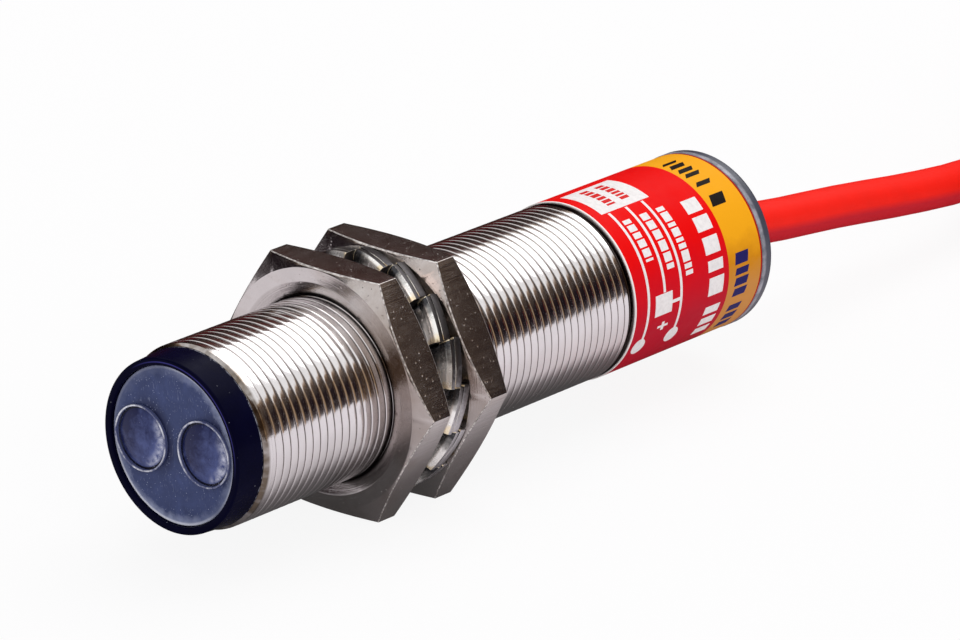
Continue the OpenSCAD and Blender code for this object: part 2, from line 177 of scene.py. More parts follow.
class Graph:
    """A node tree, with short calls for the nodes that finishes and the backdrop use."""

    def __init__(self, tree: bpy.types.NodeTree) -> None:
        """Takes the tree that the nodes go into."""
        self.tree = tree

    def node(self, kind: str, inputs: dict | None = None, **settings: object) -> bpy.types.Node:
        """Adds a node.

        Args:
            kind: The node's type, without its ShaderNode prefix.
            inputs: Values or outputs by input name or number.
            **settings: The node's own properties.

        Returns:
            The new node.
        """
        made = self.tree.nodes.new("ShaderNode" + kind)
        for key, value in settings.items():
            setattr(made, key, value)
        for key, value in (inputs or {}).items():
            self.feed(made.inputs[key], value)
        return made

    def feed(self, socket: Socket, value: Feed) -> None:
        """Sets an input to a value, or links it to another node's output.

        Args:
            socket: The input.
            value: A number, a vector, a colour of three parts or an output.
        """
        if isinstance(value, Socket):
            self.tree.links.new(value, socket)
        elif socket.type == "RGBA":
            socket.default_value = (*value, 1)
        else:
            socket.default_value = value

    def calc(self, kind: str, first: Feed, second: Feed = 0.0) -> Socket:
        """One step of arithmetic."""
        return self.node("Math", {0: first, 1: second}, operation=kind).outputs[0]

    def plus(self, first: Feed, second: Feed) -> Socket:
        """The sum of two values."""
        return self.calc("ADD", first, second)

    def minus(self, first: Feed, second: Feed) -> Socket:
        """One value less another."""
        return self.calc("SUBTRACT", first, second)

    def times(self, *parts: Feed) -> Socket:
        """The product of all parts."""
        return reduce(lambda first, second: self.calc("MULTIPLY", first, second), parts)

    def most(self, *parts: Feed) -> Socket:
        """The largest of all parts."""
        return reduce(lambda first, second: self.calc("MAXIMUM", first, second), parts)

    def away(self, value: Feed, centre: Feed) -> Socket:
        """How far a value is from another, either way."""
        return self.calc("ABSOLUTE", self.minus(value, centre))

    def span(self, value: Feed, low: float, high: float, to_low: float = 0.0, to_high: float = 1.0) -> Socket:
        """A value's range mapped to another, and clamped."""
        ends = {"From Min": low, "From Max": high, "To Min": to_low, "To Max": to_high}
        return self.node("MapRange", {"Value": value, **ends}).outputs[0]

    def blend(self, fac: Feed, first: Feed, second: Feed) -> Socket:
        """Two colours mixed by a factor."""
        return self.node("Mix", {0: fac, 6: first, 7: second}, data_type="RGBA").outputs[2]

    def length(self, vector: Feed) -> Socket:
        """The length of a vector."""
        return self.node("VectorMath", {0: vector}, operation="LENGTH").outputs["Value"]

    def split(self, vector: Feed) -> tuple:
        """The three parts of a vector."""
        return tuple(self.node("SeparateXYZ", {0: vector}).outputs)

    def join(self, x: Feed, y: Feed, z: Feed) -> Socket:
        """A vector of three parts."""
        return self.node("CombineXYZ", {0: x, 1: y, 2: z}).outputs[0]

    def ramp(self, fac: Feed, stops: tuple | list, hard: bool = False) -> Socket:
        """A colour ramp.

        Args:
            fac: What drives it.
            stops: Pairs of a position and a colour or a grey.
            hard: Steps in place of blends.

        Returns:
            The colour.
        """
        made = self.node("ValToRGB", {"Fac": fac})
        made.color_ramp.interpolation = "CONSTANT" if hard else "LINEAR"
        ends = made.color_ramp.elements
        while len(ends) < len(stops):
            ends.new(0.5)
        for element, (position, colour) in zip(ends, stops):
            element.position = position
            element.color = (*colour, 1) if isinstance(colour, tuple) else (colour, colour, colour, 1)
        return made.outputs["Color"]

    def whiteness(self, eye: float, mirror: float, glass: float) -> Socket:
        """How white a surface looks to each kind of ray.

        Args:
            eye: The share for the camera.
            mirror: The share for reflections.
            glass: The share through glass.

        Returns:
            The share for the ray at hand.
        """
        rays = self.node("LightPath").outputs
        shares = (("Is Camera Ray", eye), ("Is Glossy Ray", mirror), ("Is Transmission Ray", glass))
        return self.most(*(self.times(rays[name], share) for name, share in shares))


class Recipe(Graph):
    """A finish being mixed: one material and its principled shader."""

    def __init__(self, name: str) -> None:
        """Starts an empty material.

        Args:
            name: The finish's name.
        """
        self.material = bpy.data.materials.new(name)
        self.material.use_nodes = True
        super().__init__(self.material.node_tree)
        self.shader = self.tree.nodes["Principled BSDF"]

    def set(self, **values: Feed) -> None:
        """Feeds the shader's own sockets, whose names are written with underscores."""
        for key, value in values.items():
            self.feed(self.shader.inputs[key.replace("_", " ").replace("Ior", "IOR")], value)

    def surface(self, shader: Socket) -> Material:
        """Shows another shader in place of the principled one, and gives the material."""
        self.tree.links.new(shader, self.tree.nodes["Material Output"].inputs["Surface"])
        return self.material

    def place(self, stretch: tuple = (1, 1, 1)) -> Socket:
        """Object coordinates in millimetres from the barrel's axis.

        Args:
            stretch: Scale along each axis.

        Returns:
            The vector.
        """
        coords = self.node("TexCoord").outputs["Object"]
        centred = self.node("VectorMath", {0: coords, 1: (0, 0, AXIS_Z)}, operation="SUBTRACT").outputs[0]
        scale = tuple(share / MM for share in stretch)
        return self.node("VectorMath", {0: centred, 1: scale}, operation="MULTIPLY").outputs[0]

    def radius(self) -> Socket:
        """Distance from the barrel's axis in millimetres."""
        return self.length(self.place((1, 0, 1)))

    def along(self) -> Socket:
        """Distance behind the sensing face in millimetres."""
        return self.minus(self.split(self.place())[1], FACE_Y / MM)

    def turn(self) -> Socket:
        """The angle round the barrel's axis, in radians."""
        x, _, z = self.split(self.place())
        return self.calc("ARCTAN2", z, x)

    def normal(self, axis: int) -> Socket:
        """How far the surface faces along an axis of the row frame."""
        return self.split(self.node("NewGeometry").outputs["Normal"])[axis]

    def noise(self, pattern: Pattern) -> Socket:
        """A noise pattern, from nought to one."""
        sizes = {"Scale": pattern.scale, "Detail": pattern.detail, "Roughness": pattern.rough}
        return self.node(
            "TexNoise", {"Vector": self.place(pattern.stretch), "Distortion": pattern.bend, **sizes},
        ).outputs[0]

    def patches(self, pattern: Pattern, to_low: float = 0.0, to_high: float = 1.0) -> Socket:
        """A noise pattern's own range, mapped to another and clamped."""
        return self.span(self.noise(pattern), pattern.low, pattern.high, to_low, to_high)

    def shades(self, fac: Socket, colour: Colour, *stops: tuple) -> Socket:
        """A ramp between shades of one colour, where each stop is a position and a share."""
        return self.ramp(fac, [(position, shaded(colour, share)) for position, share in stops])

    def cells(self, scale: float) -> Socket:
        """Distance from the nearest of scattered points."""
        made = self.node("TexVoronoi", {"Vector": self.place(), "Scale": scale, "Randomness": 1.0})
        return made.outputs["Distance"]

    def specks(self, dust: Dust) -> Socket:
        """Specks of dust, from nought to one."""
        return self.times(self.span(self.cells(dust.scale), dust.reach, dust.core), self.patches(dust.chance))

    def towards(self, spot: tuple, way: tuple, low: float, high: float) -> Socket:
        """How far a point lies towards a direction, each given across and upwards, from low to high."""
        ahead = self.plus(self.times(spot[0], way[0]), self.times(spot[1], way[1]))
        return self.span(ahead, low, high)

    def relief(self, height: Socket, strength: float, depth: float, under: Socket | None = None) -> Socket:
        """A bump from a height pattern.

        Args:
            height: The pattern.
            strength: Share of the bump, from 0 to 1.
            depth: Height of the relief in millimetres.
            under: Another bump's normal that this one goes over.

        Returns:
            The normal.
        """
        made = self.node("Bump", {"Height": height, "Strength": strength, "Distance": depth * MM})
        if under is not None:
            self.feed(made.inputs["Normal"], under)
        return made.outputs["Normal"]


class Finish:
    """What every finish does: mixes one material under its own name."""

    name: str

    def mix(self) -> Material:
        """Mixes the material.

        Returns:
            The new material.
        """
        paint = Recipe(self.name)
        self.apply(paint)
        return paint.material

    def apply(self, paint: Recipe) -> None:
        """Lays this finish on a recipe."""
        raise NotImplementedError

    def marked(self, paint: Recipe, tone: Socket) -> Socket:
        """Adds the marks of a certain piece to a tone, of which a plain finish has none."""
        return tone


@dataclass(frozen=True)
class PlatedMetal(Finish):
    """Nickel plate or bright steel, with turning marks, stains and fine pits."""

    name: str
    colour: Colour
    roughness: float = 0.14
    turning: float = 0.25
    pits: float = 0.3
    smeared: float = 2.6
    dents: float = 0.0
    stain: tuple = ()
    cloud: Pattern = Pattern(0.22, 4, 0.55)
    patch: Pattern = Pattern(0.10, 5, 0.6, bend=0.5, low=0.46, high=0.66)
    pit: Pattern = Pattern(5.0, 2, 0.6, low=0.70, high=0.76)
    smear: Pattern = Pattern(1.4, 5, 0.62, (1, 0.35, 1), low=0.35, high=1.4)
    ring_scale: float = 9.0
    dent_scale: float = 1.5

    def apply(self, paint: Recipe) -> None:
        """Lays down the plated metal.

        Args:
            paint: Its recipe.
        """
        tone = paint.shades(paint.noise(self.cloud), self.colour, (0.3, 0.9), (0.7, 1.0))
        if self.stain:
            tone = paint.blend(paint.patches(self.patch), tone, tinted(self.colour, self.stain))
        tone = self.marked(paint, tone)
        grains = paint.noise(self.pit)
        pit = paint.span(grains, self.pit.low, self.pit.high)
        tone = paint.blend(paint.times(pit, self.pits), tone, shaded(self.colour, 0.35))
        sizes = {"W": paint.radius(), "Scale": self.ring_scale, "Detail": 2.0}
        rings = paint.node("TexNoise", sizes, noise_dimensions="1D").outputs[0]
        wiped = paint.plus(paint.noise(self.smear), pit)
        least, greatest = self.roughness * 0.7, self.roughness * self.smeared
        rough = paint.span(wiped, self.smear.low, self.smear.high, least, greatest)
        skin = paint.relief(rings, self.turning, 0.02)
        skin = paint.relief(grains, 0.18 * self.pits, 0.03, skin)
        if self.dents:
            dent = paint.span(paint.cells(self.dent_scale), 0.02, 0.16)
            skin = paint.relief(dent, self.dents, 0.05, skin)
        paint.set(Base_Color=tone, Metallic=1.0, Roughness=rough, Normal=skin)


@dataclass(frozen=True)
class BarrelPlate(PlatedMetal):
    """The barrel's plate: painted shade between the threads and in the relief groove, and dark round the bezel.
    """

    # Colour of the painted shade between the threads.
    recess_shade: Colour = (0.11, 0.075, 0.055)
    root_r: float = 8.84
    crest_r: float = 8.965
    thread_from: float = 4.1
    thread_to: float = 55.3
    mouth_at: float = 3.7
    mouth: Colour = (0.17, 0.135, 0.105)
    streak: Pattern = Pattern(0.45, 3, 0.6, (1, 0.1, 1), low=0.36, high=0.60)
    groove_from: float = 55.2
    groove_wide: float = 0.95
    # Colour of the painted shade in the relief groove.
    groove: Colour = (0.13, 0.105, 0.10)

    def marked(self, paint: Recipe, tone: Socket) -> Socket:
        """Paints shade into the thread's hollows and the groove, and darkens the land by the bezel.

        Args:
            paint: Its recipe.
            tone: The plate's own tone.

        Returns:
            The marked tone.
        """
        back = paint.along()
        before = paint.calc("LESS_THAN", back, self.thread_from)
        after = paint.calc("GREATER_THAN", back, self.thread_to)
        crest = paint.span(paint.radius(), self.root_r, self.crest_r)
        # Painted shade in the thread's hollows, below the crest.
        tone = paint.blend(paint.most(crest, before, after), self.recess_shade, tone)
        near = paint.span(back, self.mouth_at + 0.2, self.mouth_at - 0.1)
        tone = paint.blend(paint.times(near, paint.patches(self.streak, 0.35, 1.0)), tone, self.mouth)
        half = self.groove_wide / 2
        # Painted shade inside the relief groove.
        inside = paint.span(paint.away(back, self.groove_from + half), half, half - 0.15)
        return paint.blend(inside, tone, self.groove)


@dataclass(frozen=True)
class NutPlate(PlatedMetal):
    """The nuts' plate: a painted reflection that browns two sectors of each face, and painted shade in the
    bore.
    """

    # Colour of the painted shade in the bore.
    recess_shade: Colour = (0.022, 0.016, 0.015)
    bore_r: float = 9.20
    shade_edge_r: float = 9.50
    # The painted reflection: a turned face's bow-tie, browner over two opposite sectors.
    painted_reflection: float = 0.62
    painted_reflection_tint: Colour = (0.42, 0.34, 0.28)
    painted_reflection_turn: float = 40.0
    ragged: Pattern = Pattern(0.35, 4)

    def marked(self, paint: Recipe, tone: Socket) -> Socket:
        """Paints a browner reflection over two sectors of each face, and shade into the bore.

        Args:
            paint: Its recipe.
            tone: The plate's own tone.

        Returns:
            The marked tone.
        """
        # Painted reflection over two opposite sectors of each face.
        reflection_wave = paint.calc("COSINE", paint.minus(paint.times(paint.turn(), 2.0), math.radians(self.painted_reflection_turn)))
        sector = paint.span(paint.plus(reflection_wave, paint.patches(self.ragged, -0.3, 0.3)), -0.2, 1.0)
        faced = paint.span(paint.away(paint.normal(1), 0.0), 0.6, 0.9)
        tone = paint.blend(paint.times(sector, faced, self.painted_reflection), tone, tinted(self.colour, self.painted_reflection_tint))
        # Painted shade in the bore, in the gap round the barrel's thread.
        return paint.blend(paint.span(paint.radius(), self.bore_r, self.shade_edge_r), self.recess_shade, tone)


@dataclass(frozen=True)
class WornEdge(Finish):
    """The knocked edge of a nut: bright where it is rubbed, dull between."""

    name: str = "nut_edge_rubbed"
    bright: Colour = (0.95, 0.90, 0.87)
    dull: Colour = (0.26, 0.235, 0.225)
    rub: Pattern = Pattern(4.2, 3, 0.7, low=0.48, high=0.57)

    def apply(self, paint: Recipe) -> None:
        """Lays down the rubbed edge.

        Args:
            paint: Its recipe.
        """
        rubbed = paint.patches(self.rub)
        tone, rough = paint.blend(rubbed, self.dull, self.bright), paint.span(rubbed, 0, 1, 0.45, 0.25)
        paint.set(Base_Color=tone, Metallic=0.55, Roughness=rough)


@dataclass(frozen=True)
class ToothSteel(Finish):
    """The faces of a washer's teeth: a white and gold painted highlight at the biting end, and painted shade at
    the other end and at the roots.
    """

    name: str = "washer_tooth_steel"
    teeth: int = 16
    phase: float = -5.25
    root_r: float = 10.2
    # The painted highlight's gold and white, its grey fade, and the painted shade.
    gold_glint: Colour = (1.0, 0.86, 0.62)
    bright: Colour = (1.0, 0.98, 0.95)
    grey: Colour = (0.30, 0.29, 0.28)
    tooth_shade: Colour = (0.045, 0.045, 0.050)
    uneven: Pattern = Pattern(0.9, 4, 0.6)
    pit: Pattern = Pattern(5.0, 2, 0.6, low=0.66, high=0.74)
    smear: Pattern = Pattern(1.4, 5, 0.62, high=0.75)

    def apply(self, paint: Recipe) -> None:
        """Lays down the tooth faces.

        Args:
            paint: Its recipe.
        """
        pitch = math.tau / self.teeth
        counted = paint.minus(paint.calc("DIVIDE", paint.turn(), pitch), math.radians(self.phase) / pitch - 0.5)
        share = paint.plus(paint.calc("FRACT", counted), paint.patches(self.uneven, -0.12, 0.12))
        # Painted highlight over each tooth's biting half, fading through grey to painted shade.
        bright = (0.20, self.bright), (0.50, self.bright)
        across = paint.ramp(share, ((0.08, self.gold_glint), *bright, (0.68, self.grey), (0.86, self.tooth_shade)))
        # Painted shade towards the roots of the teeth.
        tone = paint.blend(paint.span(paint.radius(), self.root_r + 0.5, self.root_r), across, self.tooth_shade)
        tone = paint.blend(paint.times(paint.patches(self.pit), 0.5), tone, self.grey)
        smear = paint.noise(self.smear)
        rough = paint.span(smear, self.smear.low, self.smear.high, 0.14, 0.34)
        paint.set(Base_Color=tone, Metallic=0.7, Roughness=rough, Normal=paint.relief(smear, 0.15, 0.05))


@dataclass(frozen=True)
class ShearedEdge(Finish):
    """The sheared rim of a washer: darker towards the top, lighter and pitted below."""

    name: str = "washer_sheared_edge"
    dark: Colour = (0.055, 0.050, 0.052)
    bare: Colour = (0.52, 0.50, 0.52)
    worn: Pattern = Pattern(0.8, 4, 0.6)
    pit: Pattern = Pattern(4.5, 3, 0.65)

    def apply(self, paint: Recipe) -> None:
        """Lays down the sheared rim.

        Args:
            paint: Its recipe.
        """
        # Darker towards the top, lighter towards the bottom.
        height = paint.plus(paint.split(paint.place())[2], paint.patches(self.worn, -1.5, 1.5))
        tone = paint.blend(paint.span(height, -2.0, 2.5), self.bare, self.dark)
        grains = paint.noise(self.pit)
        tone = paint.blend(paint.times(paint.span(grains, 0.60, 0.70), 0.6), tone, self.dark)
        rough = paint.span(grains, self.pit.low, self.pit.high, 0.26, 0.5)
        paint.set(Base_Color=tone, Metallic=0.9, Roughness=rough, Normal=paint.relief(grains, 0.35, 0.06))


@dataclass(frozen=True)
class DustyPlastic(Finish):
    """Moulded plastic with a satin skin, faint flow marks and specks of dust."""

    name: str
    colour: Colour
    dust: Colour = (0.35, 0.36, 0.42)
    roughness: float = 0.32
    shine: float = 0.5
    dusty: float = 0.2
    cloud: Pattern = Pattern(0.35)
    specks: Dust = Dust(1.1, 0.075, 0.03, Pattern(0.9, 2, low=0.50, high=0.56))
    satin: Pattern = Pattern(1.3, 4, high=0.75)
    grain: Pattern = Pattern(11.0, 2)

    def apply(self, paint: Recipe) -> None:
        """Lays down the plastic.

        Args:
            paint: Its recipe.
        """
        tone = paint.shades(paint.noise(self.cloud), self.colour, (0.3, 0.8), (0.75, 1.2))
        tone = paint.blend(paint.times(paint.specks(self.specks), self.dusty), tone, self.dust)
        tone = self.marked(paint, tone)
        rough = paint.patches(self.satin, self.roughness * 0.8, self.roughness * 1.3)
        skin = paint.relief(paint.noise(self.grain), 0.12, 0.02)
        paint.set(Base_Color=tone, Roughness=rough, Normal=skin, Specular_Ior_Level=self.shine)


@dataclass(frozen=True)
class RubbedPlastic(DustyPlastic):
    """Dusty plastic with one rubbed band round it, partly wear and partly painted highlight."""

    wear_and_sheen_at: float = 0.0
    wear_and_sheen_wide: float = 0.0
    nicks_and_sheen: Pattern = Pattern(1.7, 5, 0.65, low=0.44, high=0.62)

    def marked(self, paint: Recipe, tone: Socket) -> Socket:
        """Adds the rubbed band, partly wear and partly painted highlight."""
        band = paint.span(paint.away(paint.along(), self.wear_and_sheen_at), self.wear_and_sheen_wide, self.wear_and_sheen_wide / 2)
        return paint.blend(paint.times(band, paint.patches(self.nicks_and_sheen)), tone, self.dust)


@dataclass(frozen=True)
class BezelPlastic(RubbedPlastic):
    """The bezel's plastic, whose lip has a thin bluish painted highlight at its upper right."""

    lip_highlight_r: float = 8.10
    # Colour of the painted highlight along the lip.
    lip: Colour = (0.075, 0.070, 0.36)

    def marked(self, paint: Recipe, tone: Socket) -> Socket:
        """Adds the rubbed band and the painted highlight along the lip.

        Args:
            paint: Its recipe.
            tone: The plastic's own tone.

        Returns:
            The marked tone.
        """
        x, _, z = paint.split(paint.place())
        side = paint.towards((x, z), (0.5, 0.87), 3.0, 6.5)
        # Painted highlight: a thin bluish line along the lip, towards the upper right.
        line = paint.span(paint.away(paint.radius(), self.lip_highlight_r), 0.08, 0.03)
        return paint.blend(paint.times(line, side, 0.55), super().marked(paint, tone), self.lip)


@dataclass(frozen=True)
class FilterPane(Finish):
    """The slate-blue filter of the window, with clouds, scratches, dust, a frosted edge brightened on two sides
    by a painted highlight, a painted shadow beside each lens and painted shade inside each lens rim.
    """

    name: str = "window_filter_blue"
    colour: Colour = (0.050, 0.069, 0.172)
    # Colours of the painted shadow beside each lens and of the painted shade inside each lens rim.
    shade: Colour = (0.009, 0.010, 0.036)
    moat_shade: Colour = (0.006, 0.007, 0.022)
    # The frosted edge and its chips, brightened on two sides by a painted highlight.
    frost: Colour = (0.42, 0.47, 0.66)
    chipped_and_sheen: Colour = (0.72, 0.75, 0.86)
    edge_r: float = 7.7
    lens_x: float = 3.99
    lens_z: float = 0.24
    rim_r: float = 3.25
    cloud: Pattern = Pattern(0.42, 5, 0.6, bend=0.6)
    ragged: Pattern = Pattern(1.1, 5, 0.65)
    scratch: Pattern = Pattern(1.0, 7, stretch=(3.4, 1, 0.9), bend=2.2, low=0.62, high=0.74)
    specks: Dust = Dust(3.2, 0.16, 0.06, Pattern(0.9, 2, low=0.44, high=0.54))

    def from_lens(self, paint: Recipe) -> tuple:
        """Distances from the nearer lens's middle, in millimetres.

        Args:
            paint: Its recipe.

        Returns:
            The place across and upwards, and the straight distance.
        """
        x, _, z = paint.split(paint.place())
        side = paint.calc("SIGN", x)
        across = paint.minus(x, paint.times(side, self.lens_x))
        upwards = paint.minus(z, paint.times(side, self.lens_z))
        return (across, upwards), paint.length(paint.join(across, 0.0, upwards))

    def apply(self, paint: Recipe) -> None:
        """Lays down the filter.

        Args:
            paint: Its recipe.
        """
        tone = paint.shades(paint.noise(self.cloud), self.colour, (0.30, 0.80), (0.55, 1.0), (0.85, 1.45))
        spot, away = self.from_lens(paint)
        # Painted shadow to the right of each lens, as if cast by its raised rim.
        near = paint.span(away, self.rim_r + 1.25, self.rim_r - 0.1)
        lens_shadow = paint.times(near, paint.towards(spot, (0.92, 0.38), 0.2, 2.6), 0.92)
        tone = paint.blend(lens_shadow, tone, self.shade)
        # Painted shade inside each lens rim, round the dome.
        tone = paint.blend(paint.calc("LESS_THAN", away, self.rim_r - 0.1), tone, self.moat_shade)
        x, _, z = paint.split(paint.place())
        # Painted highlight on the frosted edge and its chips, towards the upper right and the lower left.
        right_top = paint.towards((x, z), (0.86, 0.5), 2.5, 7.0)
        sheen_sides = paint.most(right_top, paint.towards((x, z), (-0.35, -0.94), 3.0, 7.2))
        radius = paint.radius()
        edge = paint.span(radius, self.edge_r - 1.6, self.edge_r - 0.1)
        ragged = paint.span(paint.plus(edge, paint.noise(self.ragged)), 0.85, 1.75)
        veil_and_sheen = paint.times(ragged, paint.plus(sheen_sides, 0.25), 0.85)
        chips = paint.times(paint.span(radius, self.edge_r - 0.36, self.edge_r - 0.18), paint.plus(sheen_sides, 0.15))
        scratch = paint.noise(self.scratch)
        lines = paint.times(paint.span(scratch, self.scratch.low, self.scratch.high), 0.3)
        frosty = paint.most(veil_and_sheen, lines, paint.specks(self.specks))
        tone = paint.blend(chips, paint.blend(frosty, tone, self.frost), self.chipped_and_sheen)
        rough, skin = paint.span(frosty, 0, 1, 0.24, 0.5), paint.relief(scratch, 0.1, 0.02)
        paint.set(Base_Color=tone, Roughness=rough, Normal=skin, Specular_Ior_Level=0.12)


@dataclass(frozen=True)
class LensFilter(FilterPane):
    """The domes of the lenses: deep blue and clouded, with a painted highlight towards one side and painted
    glints near its edge.
    """

    name: str = "lens_dome_blue"
    deep: Colour = (0.012, 0.016, 0.070)
    # The painted highlight's hazy colour, and the painted glints near the edge.
    lit_haze: Colour = (0.105, 0.135, 0.33)
    glint: Colour = (0.78, 0.80, 0.92)
    dome_r: float = 2.84
    cloud: Pattern = Pattern(0.8, 5, 0.66, bend=0.25)
    flecks: Pattern = Pattern(1.6, 5, 0.7, low=0.36, high=0.66)
    specks: Dust = Dust(2.3, 0.10, 0.04, Pattern(1.1, 2, low=0.46, high=0.58))
    grain: Pattern = Pattern(3.0, 5, 0.65)

    def apply(self, paint: Recipe) -> None:
        """Lays down the dome filter.

        Args:
            paint: Its recipe.
        """
        spot, away = self.from_lens(paint)
        cloud = paint.noise(self.cloud)
        # Painted highlight: the clouds brighten towards the lower right of each dome.
        lit = paint.towards(spot, (0.90, -0.43), -2.4, 2.2)
        veil_and_sheen = paint.span(paint.plus(lit, paint.span(cloud, 0.3, 0.7, 0.0, 0.9)), 0.5, 1.75)
        tone = paint.blend(veil_and_sheen, self.deep, self.lit_haze)
        inner = paint.span(away, self.dome_r * 0.62, self.dome_r * 0.9)
        outer = paint.span(away, self.dome_r, self.dome_r * 0.93)
        # Painted glints near each dome's edge on the right.
        side = paint.towards(spot, (0.97, -0.22), 0.9, 2.1)
        tone = paint.blend(paint.times(inner, outer, side, paint.patches(self.flecks)), tone, self.glint)
        tone = paint.blend(paint.times(paint.specks(self.specks), 0.6), tone, self.frost)
        rough, skin = paint.span(cloud, 0.3, 0.8, 0.14, 0.3), paint.relief(paint.noise(self.grain), 0.06, 0.02)
        paint.set(Base_Color=tone, Roughness=rough, Normal=skin, Specular_Ior_Level=0.15)


@dataclass(frozen=True)
class LensRim(Finish):
    """The thin rim of a lens: clear, with a painted highlight in white flecks along its crest."""

    name: str = "lens_rim_blue"
    clear: Colour = (0.085, 0.10, 0.22)
    crest_glint: Colour = (0.80, 0.82, 0.90)
    chips: Pattern = Pattern(0.55, 6, 0.7, low=0.42, high=0.62)

    def apply(self, paint: Recipe) -> None:
        """Lays down the rim.

        Args:
            paint: Its recipe.
        """
        chips = paint.patches(self.chips)
        crest = paint.span(paint.along(), 0.17, 0.06)
        # Painted highlight: white flecks along the rim's crest.
        tone = paint.blend(paint.times(chips, crest), self.clear, self.crest_glint)
        paint.set(Base_Color=tone, Roughness=paint.span(chips, 0, 1, 0.12, 0.35), Specular_Ior_Level=0.5)


@dataclass(frozen=True)
class LabelFilm(Finish):
    """Printed film in bands: a white line, red, yellow and a red line at the rear edge, with painted shade
    darkening the red and yellow towards the bottom.
    """

    name: str = "label_film_bands"
    white_to: float = 56.19
    yellow_from: float = 70.4
    line_from: float = 75.72
    reach: float = 100.0
    red: Colour = (0.84, 0.0, 0.0)
    # The red in painted shade, towards the bottom.
    shaded_red: Colour = (0.50, 0.004, 0.022)
    line: Colour = (0.42, 0.010, 0.006)
    yellow: Colour = (0.92, 0.40, 0.008)
    # The yellow in painted shade towards the bottom: amber, then tan.
    amber: Colour = (0.66, 0.25, 0.004)
    tan: Colour = (0.62, 0.27, 0.060)
    white: Colour = (0.92, 0.88, 0.86)
    uneven: Pattern = Pattern(0.5, 4, 0.6)
    satin: Pattern = Pattern(0.8, 4)
    fibres: Pattern = Pattern(6.0)

    def apply(self, paint: Recipe) -> None:
        """Lays down the film's bands.

        Args:
            paint: Its recipe.
        """
        # Painted shade: the red and yellow darken towards the bottom.
        low = paint.span(paint.split(paint.place())[2], 5.5, -3.0)
        shade = paint.plus(low, paint.patches(self.uneven, -0.07, 0.07))
        yellow = paint.ramp(shade, ((0.2, self.yellow), (0.55, self.amber), (0.85, self.tan)))
        back = paint.span(paint.along(), 0, self.reach)
        white_to, yellow_from, line_from = (
            place / self.reach for place in (self.white_to, self.yellow_from, self.line_from)
        )
        is_yellow = paint.ramp(back, ((0.0, 0.0), (yellow_from, 1.0), (line_from, 0.0)), True)
        is_line = paint.ramp(back, ((0.0, 0.0), (line_from, 1.0)), True)
        is_white = paint.ramp(back, ((0.0, 1.0), (white_to, 0.0)), True)
        red = paint.blend(is_line, paint.blend(shade, self.red, self.shaded_red), self.line)
        tone = paint.blend(is_white, paint.blend(is_yellow, red, yellow), self.white)
        rough, skin = paint.patches(self.satin, 0.40, 0.52), paint.relief(paint.noise(self.fibres), 0.06, 0.02)
        paint.set(Base_Color=tone, Roughness=rough, Normal=skin, Specular_Ior_Level=0.05)


@dataclass(frozen=True)
class PrintInk(Finish):
    """Screen-printed ink, slightly uneven."""

    name: str
    colour: Colour
    wear: Pattern = Pattern(2.2, 4, 0.6)

    def apply(self, paint: Recipe) -> None:
        """Lays down the ink.

        Args:
            paint: Its recipe.
        """
        wear = paint.noise(self.wear)
        tone = paint.shades(wear, self.colour, (0.25, 0.86), (0.6, 1.0))
        paint.set(Base_Color=tone, Roughness=paint.span(wear, 0.3, 0.7, 0.38, 0.5), Specular_Ior_Level=0.06)


@dataclass(frozen=True)
class SoftPvc(Finish):
    """Extruded PVC jacket: a satin skin with faint waviness, handling marks and a painted shade for its
    underside.
    """

    name: str
    colour: Colour
    roughness: float = 0.42
    under: tuple = ()
    cloud: Pattern = Pattern(0.28, 4)
    scuff: Pattern = Pattern(3.5, 4, 0.7, low=0.62, high=0.72)
    skin: Pattern = Pattern(1.2)

    def apply(self, paint: Recipe) -> None:
        """Lays down the jacket.

        Args:
            paint: Its recipe.
        """
        tone = paint.shades(paint.noise(self.cloud), self.colour, (0.3, 0.93), (0.7, 1.0))
        if self.under:
            # Painted shade on the underside.
            tone = paint.blend(paint.span(paint.normal(2), 0.10, -0.25), tone, self.under)
        scuffed = tuple(min(1, part * 0.7 + 0.1) for part in self.colour)
        tone = paint.blend(paint.times(paint.patches(self.scuff), 0.10), tone, scuffed)
        skin = paint.noise(self.skin)
        rough = paint.span(skin, 0.3, 0.7, self.roughness * 0.85, self.roughness * 1.15)
        bump = paint.relief(skin, 0.10, 0.05)
        paint.set(Base_Color=tone, Roughness=rough, Normal=bump, Specular_Ior_Level=0.12)


@dataclass(frozen=True)
class Rubber(Finish):
    """Matte rubber with a fine grain."""

    name: str
    colour: Colour = (0.022, 0.022, 0.025)
    cloud: Pattern = Pattern(0.6)
    grain: Pattern = Pattern(7.0, 4, 0.6)

    def apply(self, paint: Recipe) -> None:
        """Lays down the rubber.

        Args:
            paint: Its recipe.
        """
        tone = paint.shades(paint.noise(self.cloud), self.colour, (0.3, 1.0), (0.7, 1.6))
        grain = paint.noise(self.grain)
        rough, skin = paint.span(grain, 0.3, 0.7, 0.6, 0.8), paint.relief(grain, 0.25, 0.03)
        paint.set(Base_Color=tone, Roughness=rough, Normal=skin, Specular_Ior_Level=0.3)


@dataclass(frozen=True)
class WovenStrap(Finish):
    """Black woven strap, whose weave follows its own plane."""

    name: str = "strap_weave_black"
    colour: Colour = (0.018, 0.018, 0.02)
    thread_scale: float = 0.55

    def apply(self, paint: Recipe) -> None:
        """Lays down the weave.

        Args:
            paint: Its recipe.
        """
        sizes = {"Vector": paint.place(), "Scale": self.thread_scale, "Distortion": 0.4}
        waves = [paint.node("TexWave", sizes, bands_direction=way).outputs["Fac"] for way in ("Y", "DIAGONAL")]
        weave = paint.times(*waves)
        tone = paint.shades(weave, self.colour, (0.1, 0.4), (0.8, 2.4))
        paint.set(Base_Color=tone, Roughness=0.85, Normal=paint.relief(weave, 0.6, 0.12), Sheen_Weight=0.25)


